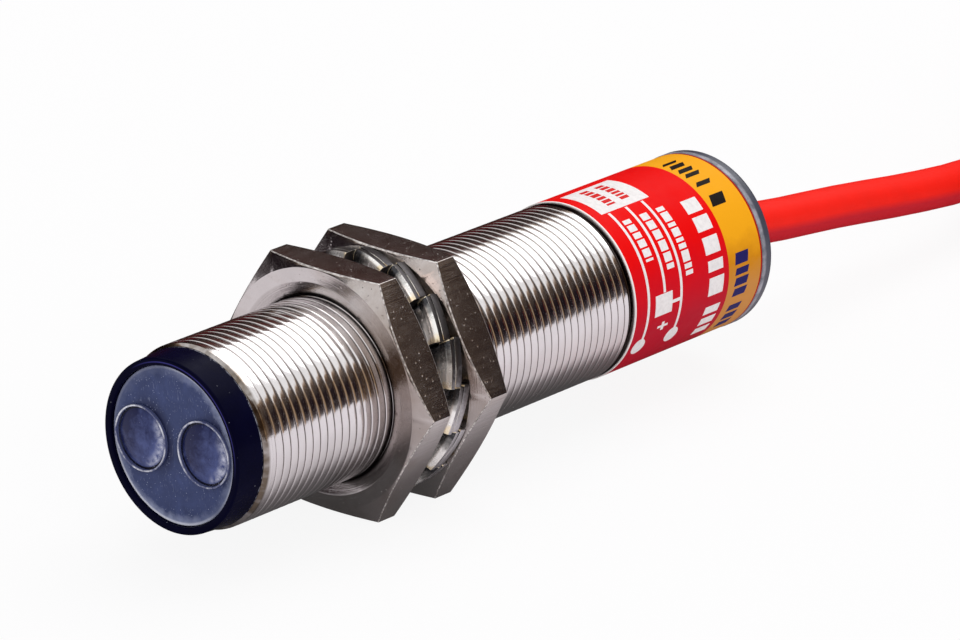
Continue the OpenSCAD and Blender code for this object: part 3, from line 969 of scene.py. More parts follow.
@dataclass(frozen=True)
class ClearTint(Finish):
    """Tinted clear resin or glass, as in a light pipe or a moulded lamp."""

    name: str
    colour: Colour
    clear: float
    roughness: float = 0.12
    density: float = 1.52
    swirl: Pattern = Pattern(0.9)

    def apply(self, paint: Recipe) -> None:
        """Lays down the resin.

        Args:
            paint: Its recipe.
        """
        swirl = paint.noise(self.swirl)
        tone = paint.shades(swirl, self.colour, (0.3, 0.8), (0.7, 1.0))
        rough = paint.span(swirl, 0.3, 0.7, self.roughness * 0.8, self.roughness * 1.6)
        paint.set(Base_Color=tone, Roughness=rough, Transmission_Weight=self.clear, Ior=self.density)


@dataclass(frozen=True)
class Laminate(Finish):
    """Circuit board with solder resist over copper tracks."""

    name: str = "board_green_laminate"
    resist: Colour = (0.010, 0.115, 0.045)
    track: Colour = (0.020, 0.20, 0.07)
    track_scale: float = 0.55
    track_gap: float = 0.16
    weave: Pattern = Pattern(6.0, 2)

    def apply(self, paint: Recipe) -> None:
        """Lays down the laminate.

        Args:
            paint: Its recipe.
        """
        sizes = {"Vector": paint.place(), "Scale": self.track_scale, "Mortar Size": self.track_gap}
        tracks = paint.node("TexBrick", sizes).outputs["Fac"]
        tone = paint.blend(tracks, self.track, self.resist)
        rough, skin = paint.patches(self.weave, 0.25, 0.4), paint.relief(tracks, 0.3, 0.04)
        paint.set(Base_Color=tone, Roughness=rough, Normal=skin)


@dataclass(frozen=True)
class Palette:
    """The finish of each material slot and of each single detail."""

    finishes: dict[Enum, Finish] = field(default_factory=lambda: {
        Slot.BARREL: BarrelPlate("barrel_nickel_plate", (0.79, 0.76, 0.765), roughness=0.12, turning=0.08),
        Slot.NUT: NutPlate(
            "nut_nickel_plate", (0.67, 0.63, 0.62), roughness=0.20, turning=0.5, pits=0.8, smeared=1.8,
            dents=0.38, stain=(0.72, 0.66, 0.62),
        ),
        Slot.WASHER: PlatedMetal(
            "washer_bright_steel", (0.72, 0.70, 0.68), roughness=0.16, turning=0.05, pits=0.6,
            stain=(0.8, 0.72, 0.6),
        ),
        Slot.BEZEL: BezelPlastic(
            "bezel_navy_black", (0.0020, 0.0020, 0.0140), roughness=0.26, shine=0.018, dusty=0.9,
            wear_and_sheen_at=3.13, wear_and_sheen_wide=0.09,
        ),
        Slot.WINDOW: FilterPane(),
        Slot.SEAL: Rubber("seal_nitrile"),
        Slot.HOLDER: DustyPlastic("holder_black", (0.012, 0.012, 0.014), roughness=0.6),
        Slot.EMITTER: ClearTint("emitter_clear_epoxy", (0.72, 0.76, 0.95), 0.7),
        Slot.RECEIVER: ClearTint("receiver_dark_epoxy", (0.03, 0.02, 0.05), 0.2),
        Slot.BOARD: Laminate(),
        Slot.CHIP: DustyPlastic("chip_moulding", (0.016, 0.016, 0.018), roughness=0.55),
        Slot.CAN: DustyPlastic("capacitor_sleeve", (0.03, 0.04, 0.16), roughness=0.3),
        Slot.CERAMIC: DustyPlastic("ceramic_tan_body", (0.40, 0.24, 0.11), roughness=0.5),
        Slot.DIODE: ClearTint("diode_amber_glass", (0.60, 0.16, 0.05), 0.5),
        Slot.POT: DustyPlastic("pot_blue_body", (0.010, 0.035, 0.22), roughness=0.45),
        Slot.TRIMMER: PlatedMetal(
            "trimmer_brass_turned", (0.80, 0.62, 0.30), roughness=0.2, turning=0.1, pits=0.4,
        ),
        Slot.INDICATOR: ClearTint("indicator_red_epoxy", (0.80, 0.03, 0.02), 0.4),
        Slot.LIGHT_PIPE: ClearTint("light_pipe_red_clear", (0.85, 0.05, 0.04), 0.6),
        # The cap's rubbed band along its rim is partly wear and partly a painted highlight on the rim's edge.
        Slot.CAP: RubbedPlastic(
            "cap_slate", (0.052, 0.058, 0.085), (0.38, 0.38, 0.43), roughness=0.34, dusty=0.4,
            wear_and_sheen_at=76.30, wear_and_sheen_wide=0.40, nicks_and_sheen=Pattern(0.6, 5, 0.65, high=0.62),
        ),
        Slot.BUSHING: Rubber("bushing_rubber_black"),
        Slot.LABEL: LabelFilm(),
        Slot.BROWN: SoftPvc("lead_brown_pvc", (0.13, 0.045, 0.015)),
        Slot.BLUE: SoftPvc("lead_blue_pvc", (0.012, 0.05, 0.42)),
        Slot.BLACK: SoftPvc("lead_black_pvc", (0.012, 0.012, 0.013)),
        # The jacket's second colour is a painted shade for its underside.
        Slot.JACKET: SoftPvc("jacket_red_pvc", (0.98, 0.014, 0.006), 0.44, (0.62, 0.012, 0.024)),
        Slot.TIE: WovenStrap(),
        Detail.WHITE_INK: PrintInk("print_white", (0.90, 0.87, 0.86)),
        Detail.RED_INK: PrintInk("print_red", (0.72, 0.02, 0.02)),
        Detail.BLACK_INK: PrintInk("print_black", (0.008, 0.005, 0.004)),
        Detail.BLUE_INK: PrintInk("print_dark_blue", (0.016, 0.013, 0.125)),
        Detail.DOME: LensFilter(),
        Detail.RIM: LensRim(),
        Detail.EDGE: WornEdge(),
        Detail.TOOTH: ToothSteel(),
        Detail.SHEARED: ShearedEdge(),
        Detail.TINNED: PlatedMetal("tinned_copper", (0.72, 0.70, 0.67), roughness=0.3, turning=0.05),
    })

    def mix_all(self) -> Made:
        """Mixes every finish once, and gives the materials by slot or detail."""
        return {key: finish.mix() for key, finish in self.finishes.items()}


def rounded(corners: list, segments: int = 3) -> list:
    """Rounds the corners of a profile.

    Args:
        corners: Points as radius, distance behind the face and length of the cut, in millimetres.
        segments: Edges along each rounding.

    Returns:
        Points as radius and distance.
    """
    points = []
    for number, (radius, back, cut) in enumerate(corners):
        here = Vector((radius, back))
        if cut <= 0:
            points.append(here)
            continue
        before, after = Vector(corners[number - 1][:2]), Vector(corners[(number + 1) % len(corners)][:2])
        start, end = here + (before - here).normalized() * cut, here + (after - here).normalized() * cut
        for step in range(segments + 1):
            t = step / segments
            points.append(start * (1 - t) ** 2 + here * (2 * t * (1 - t)) + end * t**2)
    return [tuple(point) for point in points]


def ease(t: Union[float, np.ndarray]) -> Union[float, np.ndarray]:
    """A share from nought to one that starts and ends gently."""
    return t * t * (3 - 2 * t)


def off_axis(spot: Vector) -> float:
    """How far a point is from the axis along Y."""
    return math.hypot(spot.x, spot.z)


def to_radius(vert: Vert, radius: float) -> None:
    """Moves a point straight away from the axis, or towards it, to a radius."""
    scale = radius / off_axis(vert.co)
    vert.co.x, vert.co.z = vert.co.x * scale, vert.co.z * scale


def only_verts(geom: list) -> list[Vert]:
    """The points among an operator's results."""
    return [part for part in geom if isinstance(part, Vert)]


def linked(verts: list[Vert]) -> list:
    """Points with every edge and face that they belong to."""
    edges, faces = {e for v in verts for e in v.link_edges}, {f for v in verts for f in v.link_faces}
    return [*verts, *edges, *faces]


def chain(bm: Mesh, places: list, closed: bool = False) -> tuple:
    """Joins new points by edges.

    Args:
        bm: The mesh that grows.
        places: Where the points are.
        closed: Whether the last one is joined to the first.

    Returns:
        The points and the edges.
    """
    verts = [bm.verts.new(place) for place in places]
    edges = [bm.edges.new(pair) for pair in zip(verts, verts[1:])]
    if closed:
        edges.append(bm.edges.new((verts[-1], verts[0])))
    return verts, edges


def lathe(bm: Mesh, points: list, steps: int = 144, closed: bool = True, centre: tuple = (0, 0)) -> None:
    """Turns a profile about an axis along Y.

    Args:
        bm: The mesh that grows.
        points: Radius and distance behind the face, in millimetres.
        steps: Facets round the axis.
        closed: Whether the profile is a closed loop.
        centre: The axis's place as x and z, from the barrel's axis.
    """
    old_faces, old_verts = set(bm.faces), set(bm.verts)
    verts, edges = chain(bm, [(centre[0] + radius, back, centre[1]) for radius, back in points], closed)
    bmesh.ops.spin(
        bm, geom=verts + edges, cent=(centre[0], 0, centre[1]), axis=(0, 1, 0), angle=math.tau, steps=steps,
        use_merge=True,
    )
    bmesh.ops.remove_doubles(bm, verts=[v for v in bm.verts if v not in old_verts], dist=1e-4)
    bmesh.ops.recalc_face_normals(bm, faces=[f for f in bm.faces if f not in old_faces])


def turned(
    name: str, material: Material, degrees: float, *corners: tuple, steps: int, closed: bool = True,
    segments: int = 3,
) -> Object:
    """Makes an object of one turned profile.

    Args:
        name: The piece's name.
        material: Its finish.
        degrees: The angle above which an edge is shaded hard.
        *corners: The profile's corners, as rounded takes them.
        steps: Facets round the axis.
        closed: Whether the profile is a closed loop.
        segments: Edges along each rounding.

    Returns:
        The object.
    """
    bm = bmesh.new()
    lathe(bm, rounded(list(corners), segments), steps, closed)
    return to_object(bm, name, material, degrees)


def crisp(bm: Mesh, degrees: float) -> None:
    """Shades a mesh smooth, with hard edges where its faces meet at more than an angle.

    Args:
        bm: The mesh.
        degrees: The angle.
    """
    for face in bm.faces:
        face.smooth = True
    for edge in bm.edges:
        edge.smooth = not (edge.is_manifold and edge.calc_face_angle(0.0) > math.radians(degrees))


def keep_piece(obj: Object, slot: Slot, body: Body = Body.SENSOR, stands_for: tuple = ()) -> Object:
    """Hangs a finished piece on its body, hides the nodes it stands for and logs it.

    Args:
        obj: The piece.
        slot: Its material slot.
        body: The body it rides on.
        stands_for: The nodes it replaces.

    Returns:
        The piece.
    """
    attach(obj, body.value)
    if stands_for:
        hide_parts(*stands_for)
    log.info("piece %s on %s, of %s", obj.name, body.value, slot.value)
    return obj


def even_normals(obj: Object, weight: int) -> None:
    """Lets large faces keep their own normals, as strongly as a weight says."""
    normals = obj.modifiers.new("even normals", "WEIGHTED_NORMAL")
    normals.keep_sharp, normals.weight = True, weight


def link(name: str, data: bpy.types.ID) -> Object:
    """Makes an object of finished data and puts it into the scene.

    Args:
        name: Its name.
        data: Its mesh, curve, lamp or camera.

    Returns:
        The object.
    """
    obj = bpy.data.objects.new(name, data)
    bpy.context.scene.collection.objects.link(obj)
    return obj


def to_mesh(bm: Mesh, name: str, material: Material) -> Object:
    """Makes an object of a mesh in metres, which is freed.

    Args:
        bm: The mesh.
        name: The object's name.
        material: Its finish.

    Returns:
        The object, at the origin.
    """
    mesh = bpy.data.meshes.new(name)
    bm.to_mesh(mesh)
    bm.free()
    mesh.materials.append(material)
    return link(name, mesh)


def to_object(
    bm: Mesh, name: str, material: Material, degrees: float, weighted: bool = True, place: Matrix = ROW,
) -> Object:
    """Makes an object of a mesh built in millimetres round the barrel's axis.

    Args:
        bm: The mesh, which is freed.
        name: The piece's name.
        material: Its finish.
        degrees: The angle above which an edge is shaded hard.
        weighted: Whether large faces keep their own normals.
        place: The transform into the row frame.

    Returns:
        The object, at the origin.
    """
    bmesh.ops.transform(bm, matrix=place, verts=bm.verts)
    crisp(bm, degrees)
    obj = to_mesh(bm, name, material)
    if weighted:
        even_normals(obj, 60)
    return obj


def smooth_copy(node: str, name: str, material: Material, cut: float, degrees: float = 34) -> Object:
    """A merged copy of a CAD node with its edges slightly rounded.

    Args:
        node: The CAD node.
        name: The piece's name.
        material: Its finish.
        cut: Width of the rounding in millimetres.
        degrees: The angle above which an edge is rounded and hard.

    Returns:
        The new object.
    """
    bm = bmesh.new()
    bm.from_mesh(frame["nodes"][node].data)
    bmesh.ops.remove_doubles(bm, verts=bm.verts, dist=1e-6)
    bmesh.ops.dissolve_limit(bm, angle_limit=math.radians(1), verts=bm.verts, edges=bm.edges)
    obj = to_object(bm, name, material, degrees, place=Matrix.Identity(4))
    obj.data.polygons.foreach_set("material_index", [0] * len(obj.data.polygons))
    soften(obj, cut, degrees)
    return obj


def soften(obj: Object, cut: float, degrees: float) -> bpy.types.Modifier:
    """Puts a narrow bevel on an object's hard edges, ahead of its normals.

    Args:
        obj: The piece.
        cut: Width of the bevel in millimetres.
        degrees: The angle above which an edge gets it.

    Returns:
        The bevel.
    """
    bevel = obj.modifiers.new("worn edges", "BEVEL")
    bevel.width, bevel.segments = cut * MM, 2
    bevel.limit_method, bevel.angle_limit = "ANGLE", math.radians(degrees)
    if "even normals" in obj.modifiers:
        obj.modifiers.move(len(obj.modifiers) - 1, 0)
    return obj.modifiers["worn edges"]


@dataclass
class Viewpoint:
    """The photograph's camera, found from the barrel's rings and the nuts' corners."""

    place: tuple = (0.348447, -0.401692, 0.212253)
    look: tuple = (-0.610635, 0.710342, -0.350056)
    roll: float = 0.65
    lens: float = 220.386
    sensor_width: float = 36.0

    def build(self) -> None:
        """Sets up the camera."""
        forward = Vector(self.look).normalized()
        level = forward.cross(Vector((0, 0, 1))).normalized()
        turn = math.radians(self.roll)
        right = level * math.cos(turn) + level.cross(forward) * math.sin(turn)
        data = bpy.data.cameras.new("photo_camera")
        data.lens, data.sensor_width, data.clip_start = self.lens, self.sensor_width, 0.01
        camera = link("photo_camera", data)
        facing = Matrix((right, right.cross(forward), -forward)).transposed().to_4x4()
        camera.matrix_world = Matrix.Translation(self.place) @ facing
        bpy.context.scene.camera = camera


@dataclass
class Cable:
    """The red cable: out of the bushing, down to the surface and into a tied hank, 2 m in all.

    The exit route holds shares of the shift aside, heights and distances behind the cap.
    """

    diameter: float = 4.5
    length: float = 2000.0
    fold_r: float = 13.73
    run: float = 75.2
    behind: float = 80.0
    shift: float = 11.0
    stations: int = 22
    levels: int = 4
    cross_from: float = 0.56
    cross_clear: int = 6
    rounds: int = 500
    smooth_rounds: int = 420
    slack: float = 1.002
    push: float = 0.4
    held: float = 0.97
    strap_flat: float = 3.0
    strap_fade: float = 14.0
    strap_lift: float = 0.5
    strap_width: float = 5.0
    strap_rows: int = 4
    strap_clear: float = 0.05
    exit_route: tuple = (
        (0, 12.00, -5.5), (0, 12.00, 0), (0, 11.78, 4), (0, 11.30, 8), (0, 10.60, 13), (0, 10.08, 17.5),
        (0, 9.54, 22), (0, 8.84, 27), (0, 8.10, 32), (0, 7.44, 37), (0.007, 6.84, 42), (0.081, 6.10, 47),
        (0.216, 5.16, 52), (0.388, 4.07, 57), (0.578, 3.04, 62.1), (0.718, 2.60, 66), (0.844, 2.36, 70),
        (0.939, 2.27, 74), (0.99, 2.25, 78),
    )
    leads: tuple = (("lead_brown", Slot.BROWN), ("lead_blue", Slot.BLUE), ("lead_black", Slot.BLACK))
    lead_length: float = 26.0
    tip_length: float = 6.0
    lead_r: float = 0.65
    lead_steps: int = 64
    lead_fan: float = 1.2
    lead_join: float = 15.0
    lead_pull: float = 0.02
    strand_count: int = 6
    strand_r: float = 0.115
    strand_off: float = 0.23
    strand_turn: float = 0.5

    def __post_init__(self) -> None:
        """Finds the cap's rear rim, the middle of the near folds and the track that the turns follow."""
        self.cap_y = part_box("rear_cap")[1].y / MM
        self.track_r = self.fold_r + self.diameter / 2
        self.near_fold = Vector((self.track_r + self.diameter / 2 - self.shift, self.cap_y + self.behind, 0))
        steps, radius = np.arange(self.stations), self.track_r
        flat = np.zeros(self.stations)
        far, near = math.pi * (1 - steps / self.stations), -math.pi * steps / self.stations
        legs = (
            (flat - radius, self.run * steps / self.stations, flat + math.pi),
            (radius * np.cos(far), self.run + radius * np.sin(far), far),
            (flat + radius, self.run * (1 - steps / self.stations), flat),
            (radius * np.cos(near), radius * np.sin(near), near),
        )
        self.track = np.concatenate([np.stack(leg, 1) for leg in legs])

    def slots(self) -> np.ndarray:
        """Finds each turn's place in the hank.

        Returns:
            Offset outwards and height of each, in winding order.
        """
        half = self.diameter / 2
        rising = [(half, self.diameter * (0.5 + level)) for level in range(self.levels)]
        return np.array(rising + [(-half, height) for _, height in rising[::-1]])

    def at_strap(self) -> np.ndarray:
        """Finds how near each station is to the strap.

        Returns:
            A share for each, from nought to one.
        """
        straight = np.isin(self.track[:, 2], (0.0, math.pi))
        away = np.abs(self.track[:, 1] - self.run / 2)
        return ease(np.clip(1 - (away - self.strap_flat) / self.strap_fade, 0, 1) * straight)

    def wind(self) -> np.ndarray:
        """Lays the turns and lets them push each other apart where they cross over.

        Returns:
            The middle line's points in millimetres, from the near folds' middle.
        """
        count, places = len(self.track), self.slots()
        final = len(places) - 1
        last = final * count + 3 * self.stations
        steps = np.arange(last + 1)
        turn, station = steps // count, steps % count
        first = 2 * self.stations + int(self.stations * self.cross_from)
        share = ease(np.clip((station - first) / (count - self.cross_clear - first), 0, 1))[:, None]
        now, then = places[np.minimum(turn, final)], places[np.minimum(turn + 1, final)]
        spots = now + (then - now) * share
        floor, apart_from_self = self.diameter / 2 + self.strap_lift * self.at_strap()[station], 99
        for round_ in range(self.rounds):
            push = np.zeros_like(spots)
            for column in range(count):
                rows = np.arange(column, last + 1, count)
                gap = spots[rows][:, None] - spots[rows][None]
                apart = np.sqrt((gap**2).sum(-1)) + np.eye(len(rows)) * apart_from_self
                short = np.clip(self.diameter * self.slack - apart, 0, None)
                push[rows] += (gap / apart[..., None] * short[..., None]).sum(1) * self.push
            spots += push
            if round_ < self.smooth_rounds:
                spots[1:-1] = spots[1:-1] * 0.8 + 0.1 * (spots[:-2] + spots[2:])
            spots[:, 1] = np.maximum(spots[:, 1], floor)
            spots[0] = places[0]
        self.strap_spots = spots[np.isin(station, np.flatnonzero(self.at_strap() > self.held))]
        out = np.stack([np.cos(self.track[:, 2]), np.sin(self.track[:, 2])], 1)[station]
        flat = self.track[station, :2] + out * spots[:, :1]
        return np.concatenate([flat, spots[:, 1:]], 1)

    def points(self) -> list[Vector]:
        """The whole cord's middle line, cut to its length.

        Returns:
            Points in millimetres in the row frame.
        """
        line = [Vector((-self.shift * share, self.cap_y + back, high)) for share, high, back in self.exit_route]
        line += [self.near_fold + Vector(place) for place in self.wind()]
        walked, kept = self.exit_route[0][2] - self.exit_route[1][2], [line[0]]
        for here, there in zip(line, line[1:]):
            step = (there - here).length
            if walked + step >= self.length:
                kept.append(here.lerp(there, (self.length - walked) / step))
                break
            walked += step
            kept.append(there)
        return kept

    def sweep(self, name: str, lines: list, radius: float, material: Material, rounds: int) -> Object:
        """A round curve along each line.

        Args:
            name: The piece's name.
            lines: Lists of points in millimetres in the row frame.
            radius: Half its thickness in millimetres.
            material: Its finish.
            rounds: How finely it is rounded.

        Returns:
            The curve object.
        """
        data = bpy.data.curves.new(name, "CURVE")
        data.dimensions, data.use_fill_caps = "3D", True
        data.bevel_depth, data.bevel_resolution = radius * MM, rounds
        for line in lines:
            spline = data.splines.new("POLY")
            spline.points.add(len(line) - 1)
            for point, place in zip(spline.points, line):
                point.co = (*(place * MM), 1)
            spline.use_smooth = True
        data.materials.append(material)
        return link(name, data)

    def lead_line(self, row: int, start: Vector) -> tuple[list, list]:
        """Where one flying lead runs: out of the jacket, then along the inside of the run.

        Args:
            row: 0 for the outermost lead.
            start: The jacket's end.

        Returns:
            The insulated line and the bare line.
        """
        across, whole = middle(self.leads[row][0]).x / MM, self.lead_length + self.tip_length
        aside = self.lead_fan * (1 - row)
        line = []
        for number in range(self.lead_steps + 1):
            gone = whole * number / self.lead_steps
            share = ease(min(1.0, gone / self.lead_join))
            x = (start.x + aside) * (1 - share) + across * share
            z = (start.z - 0.3 * abs(aside)) * (1 - share) + self.lead_r * share
            line.append(Vector((x, start.y - gone * (1 - self.lead_pull * row), z)))
        walked, insulated, bare = 0.0, [line[0]], []
        for here, there in zip(line, line[1:]):
            walked += (there - here).length
            if walked <= self.lead_length:
                insulated.append(there)
            elif walked <= whole:
                bare.append(there)
        return insulated, [insulated[-1]] + bare

    def strands(self, line: list) -> list:
        """Six twisted strands round a straight one, along a bare tip.

        Args:
            line: The tip's middle line.

        Returns:
            A line for each strand.
        """
        wires = []
        for wire in range(self.strand_count):
            first = math.tau * wire / self.strand_count
            turns = [first + number * self.strand_turn for number in range(len(line))]
            offs = [Vector((math.cos(turn), 0, math.sin(turn))) * self.strand_off for turn in turns]
            wires.append([place + off for place, off in zip(line, offs)])
        return wires + [line]

    def strap(self, material: Material) -> Object:
        """The strap that holds the hank, fitted round both its runs.

        Args:
            material: Its weave.

        Returns:
            The strap.
        """
        clear = self.diameter / 2 + self.strap_clear
        reach = self.track_r + self.strap_spots[:, 0].max() + clear
        top, thick = self.strap_spots[:, 1].max() + clear, self.strap_lift
        loop = rounded([(-reach, thick, 1.7), (reach, thick, 1.7), (reach, top, 2.0), (-reach, top, 2.0)], 6)
        bm = bmesh.new()
        centre = self.near_fold + Vector((0, self.run / 2, top / 2))
        side = centre.y - self.strap_width / 2
        _, edges = chain(bm, [(centre.x + x, side, z) for x, z in loop], True)
        for _ in range(self.strap_rows):
            grown = bmesh.ops.extrude_edge_only(bm, edges=edges)["geom"]
            edges = [part for part in grown if isinstance(part, bmesh.types.BMEdge)]
            bmesh.ops.translate(bm, verts=only_verts(grown), vec=(0, self.strap_width / self.strap_rows, 0))
        bmesh.ops.recalc_face_normals(bm, faces=bm.faces)
        if sum(face.normal.dot(face.calc_center_median() - centre) for face in bm.faces) < 0:
            bmesh.ops.reverse_faces(bm, faces=bm.faces)
        obj = to_object(bm, "hank_strap", material, 50, weighted=False, place=Matrix.Scale(MM, 4))
        wall = obj.modifiers.new("webbing", "SOLIDIFY")
        wall.thickness, wall.offset = (thick - 0.02) * MM, 1
        soften(obj, 0.12, 50)
        return obj

    def build(self, made: Made) -> None:
        """Lays the cable, its strap and its leads.

        Args:
            made: The mixed materials.
        """
        line = self.points()
        jacket = self.sweep("cable_run", [line], self.diameter / 2, made[Slot.JACKET], 10)
        keep_piece(jacket, Slot.JACKET, stands_for=("cable", "cable_hank"))
        pieces = [keep_piece(self.strap(made[Slot.TIE]), Slot.TIE, stands_for=("hank_tie",))]
        for row, (node, slot) in enumerate(self.leads):
            insulated, bare = self.lead_line(row, line[-1])
            wire = self.sweep(f"{node}_wire", [insulated], self.lead_r, made[slot], 6)
            tip = self.sweep(f"{node}_tip", self.strands(bare), self.strand_r, made[Detail.TINNED], 3)
            pieces += [keep_piece(wire, slot, stands_for=(node,)), keep_piece(tip, slot)]


@dataclass
class Barrel:
    """The plated brass tube: a smooth front land, the fine thread, a relief groove and a smooth rear.

    The groove holds the thread's section over one pitch, as shares of it and offsets from the radius.
    """

    radius: float = 9.0
    bore_r: float = 7.9
    bed: float = 0.40
    land_drop: float = 0.01
    start: float = 3.2
    thread_from: float = 4.15
    thread_end: float = 55.2
    groove_to: float = 56.0
    end: float = 76.05
    pitch: float = 1.0
    run_in: float = 1.0
    run_out: float = 0.5
    steps: int = 128
    groove: tuple = (
        (0.0, -0.19), (0.035, -0.175), (0.072, -0.045), (0.10, -0.017), (0.16, -0.006), (0.34, 0.0),
        (0.66, 0.0), (0.84, -0.006), (0.90, -0.017), (0.928, -0.045), (0.965, -0.175), (1.0, -0.19),
    )

    def core(self, bm: Mesh) -> None:
        """Turns the tube that carries the thread."""
        under, land, front = self.radius - self.bed, self.radius - self.land_drop, self.thread_from
        lathe(bm, rounded([
            (self.bore_r, self.start, 0.05), (self.radius - 0.3, self.start, 0.05),
            (land, self.start + 0.3, 0.1), (land, front + 0.02, 0), (under, front + 0.04, 0),
            (under, self.groove_to - 0.12, 0.05),
            (self.radius, self.groove_to, 0.05), (self.radius, self.end, 0.05), (self.bore_r, self.end, 0.05),
        ]), 192)

    def thread(self, bm: Mesh) -> None:
        """Sweeps the thread as a helix and runs it out at both ends.

        Args:
            bm: The barrel's mesh.
        """
        old = set(bm.verts)

        def fresh() -> list[Vert]:
            """The thread's points so far."""
            return [vert for vert in bm.verts if vert not in old]

        first, turns = self.thread_from - 1.5 * self.pitch, int(self.thread_end - self.thread_from) + 3
        places = [(self.radius + off, first + share * self.pitch, 0) for share, off in self.groove]
        verts, edges = chain(bm, places)
        bmesh.ops.spin(
            bm, geom=verts + edges, cent=(0, 0, 0), axis=(0, 1, 0), dvec=(0, self.pitch / self.steps, 0),
            angle=math.tau, steps=self.steps,
        )
        turn = linked(fresh())
        for number in range(1, turns):
            copy = only_verts(bmesh.ops.duplicate(bm, geom=turn)["geom"])
            bmesh.ops.translate(bm, verts=copy, vec=(0, self.pitch * number, 0))
        bmesh.ops.remove_doubles(bm, verts=fresh(), dist=0.006)
        for cut, away in ((self.thread_from, True), (self.thread_end + 0.02, False)):
            bmesh.ops.bisect_plane(
                bm, geom=linked(fresh()), dist=1e-6, plane_co=(0, cut, 0), plane_no=(0, 1, 0),
                clear_inner=away, clear_outer=not away,
            )
        for vert in fresh():
            starts = min(1, max(0, (vert.co.y - self.thread_from - 0.05) / self.run_in))
            ends = min(1, max(0, (self.thread_end - vert.co.y) / self.run_out))
            to_radius(vert, self.radius + (off_axis(vert.co) - self.radius) * starts * ends)
        rims = [edge for edge in bm.edges if edge.is_boundary]
        for vert in only_verts(bmesh.ops.extrude_edge_only(bm, edges=rims)["geom"]):
            to_radius(vert, self.radius - self.bed - 0.05)
        faces = list({face for vert in fresh() for face in vert.link_faces})
        bmesh.ops.recalc_face_normals(bm, faces=faces)
        middles = [(face.normal, face.calc_center_median()) for face in faces]
        if sum(normal.x * spot.x + normal.z * spot.z for normal, spot in middles) < 0:
            bmesh.ops.reverse_faces(bm, faces=faces)

    def build(self, made: Made) -> None:
        """Makes the barrel in place of its CAD tube.

        Args:
            made: The mixed materials.
        """
        bm = bmesh.new()
        self.core(bm)
        self.thread(bm)
        obj = to_object(bm, "threaded_barrel", made[Slot.BARREL], 35)
        keep_piece(obj, Slot.BARREL, stands_for=("barrel",))


@dataclass
class SensingFace:
    """The dark bezel with its filter window and the two lenses in thin raised rims."""

    bezel_r: float = 8.5
    window_r: float = 7.7
    recess: float = 0.4
    plate: float = 1.6
    plug_r: float = 7.86
    inner_r: float = 6.40
    plug_end: float = 9.0
    seal_r: float = 7.10
    seal_from: float = 5.20
    seal_to: float = 6.10
    barrel_start: float = 3.2
    lens_offset: float = 4.0
    rim_r: float = 3.25
    rim_w: float = 0.17
    dome_r: float = 2.84
    sag: float = 0.36
    dome_steps: int = 14
    roll: float = 3.5

    def centres(self) -> list:
        """Where the two lenses sit, as x and z from the axis."""
        across, upwards = (self.lens_offset * part(math.radians(self.roll)) for part in (math.cos, math.sin))
        return [(-across, -upwards), (across, upwards)]

    def bezel(self, material: Material) -> Object:
        """Turns the bezel with its rounded rim, and its plug inside the barrel with the seal's groove."""
        lip, seat, plug = self.window_r + 0.04, self.recess + self.plate + 0.05, self.plug_r
        return turned(
            "bezel_ring", material, 38,
            (lip, seat, 0), (lip, 0.02, 0.14), (self.bezel_r, 0, 0.22),
            (self.bezel_r + 0.2, self.barrel_start - 0.03, 0.05), (plug, self.barrel_start - 0.02, 0),
            (plug, self.seal_from, 0), (self.seal_r, self.seal_from, 0), (self.seal_r, self.seal_to, 0),
            (plug, self.seal_to, 0), (plug, self.plug_end, 0.2), (self.inner_r, self.plug_end, 0),
            (self.inner_r, seat, 0), steps=192, segments=5,
        )

    def window(self, material: Material) -> Object:
        """Turns the filter plate."""
        back = self.recess + self.plate
        return turned(
            "window_plate", material, 38, (0, self.recess, 0), (self.window_r, self.recess, 0.1),
            (self.window_r, back, 0.05), (0, back, 0), steps=160, closed=False,
        )

    def rims(self, material: Material) -> Object:
        """Turns the thin raised rims round the lenses.

        Args:
            material: Their finish.

        Returns:
            Both rims.
        """
        bm = bmesh.new()
        inner, foot, crest = self.rim_r - self.rim_w, self.recess + 0.2, 0.05
        outside = [(self.rim_r, foot, 0), (self.rim_r, crest, 0.07)]
        inside = [(inner, crest, 0.07), (inner - 0.03, foot, 0)]
        for centre in self.centres():
            lathe(bm, rounded(outside + inside, 4), 96, True, centre)
        return to_object(bm, "lens_rims", material, 38)

    def domes(self, material: Material) -> Object:
        """Turns the shallow domes of the two lenses.

        Args:
            material: Their finish.

        Returns:
            Both domes.
        """
        bm = bmesh.new()
        ball = (self.dome_r**2 + self.sag**2) / (2 * self.sag)
        middle_at, foot = self.recess - self.sag + ball, self.recess + 0.15
        radii = [self.dome_r * step / self.dome_steps for step in range(self.dome_steps + 1)]
        arc = [(radius, middle_at - math.sqrt(ball * ball - radius * radius)) for radius in radii]
        for centre in self.centres():
            lathe(bm, arc + [(self.dome_r, foot), (0, foot)], 96, False, centre)
        return to_object(bm, "lens_domes", material, 50)

    def build(self, made: Made) -> None:
        """Makes the bezel, the plate, the rims and the domes.

        Args:
            made: The mixed materials.
        """
        keep_piece(self.bezel(made[Slot.BEZEL]), Slot.BEZEL, stands_for=("front_bezel",))
        panes = self.window(made[Slot.WINDOW]), self.rims(made[Detail.RIM]), self.domes(made[Detail.DOME])
        for piece in panes:
            keep_piece(piece, Slot.WINDOW, stands_for=("lens_window",))


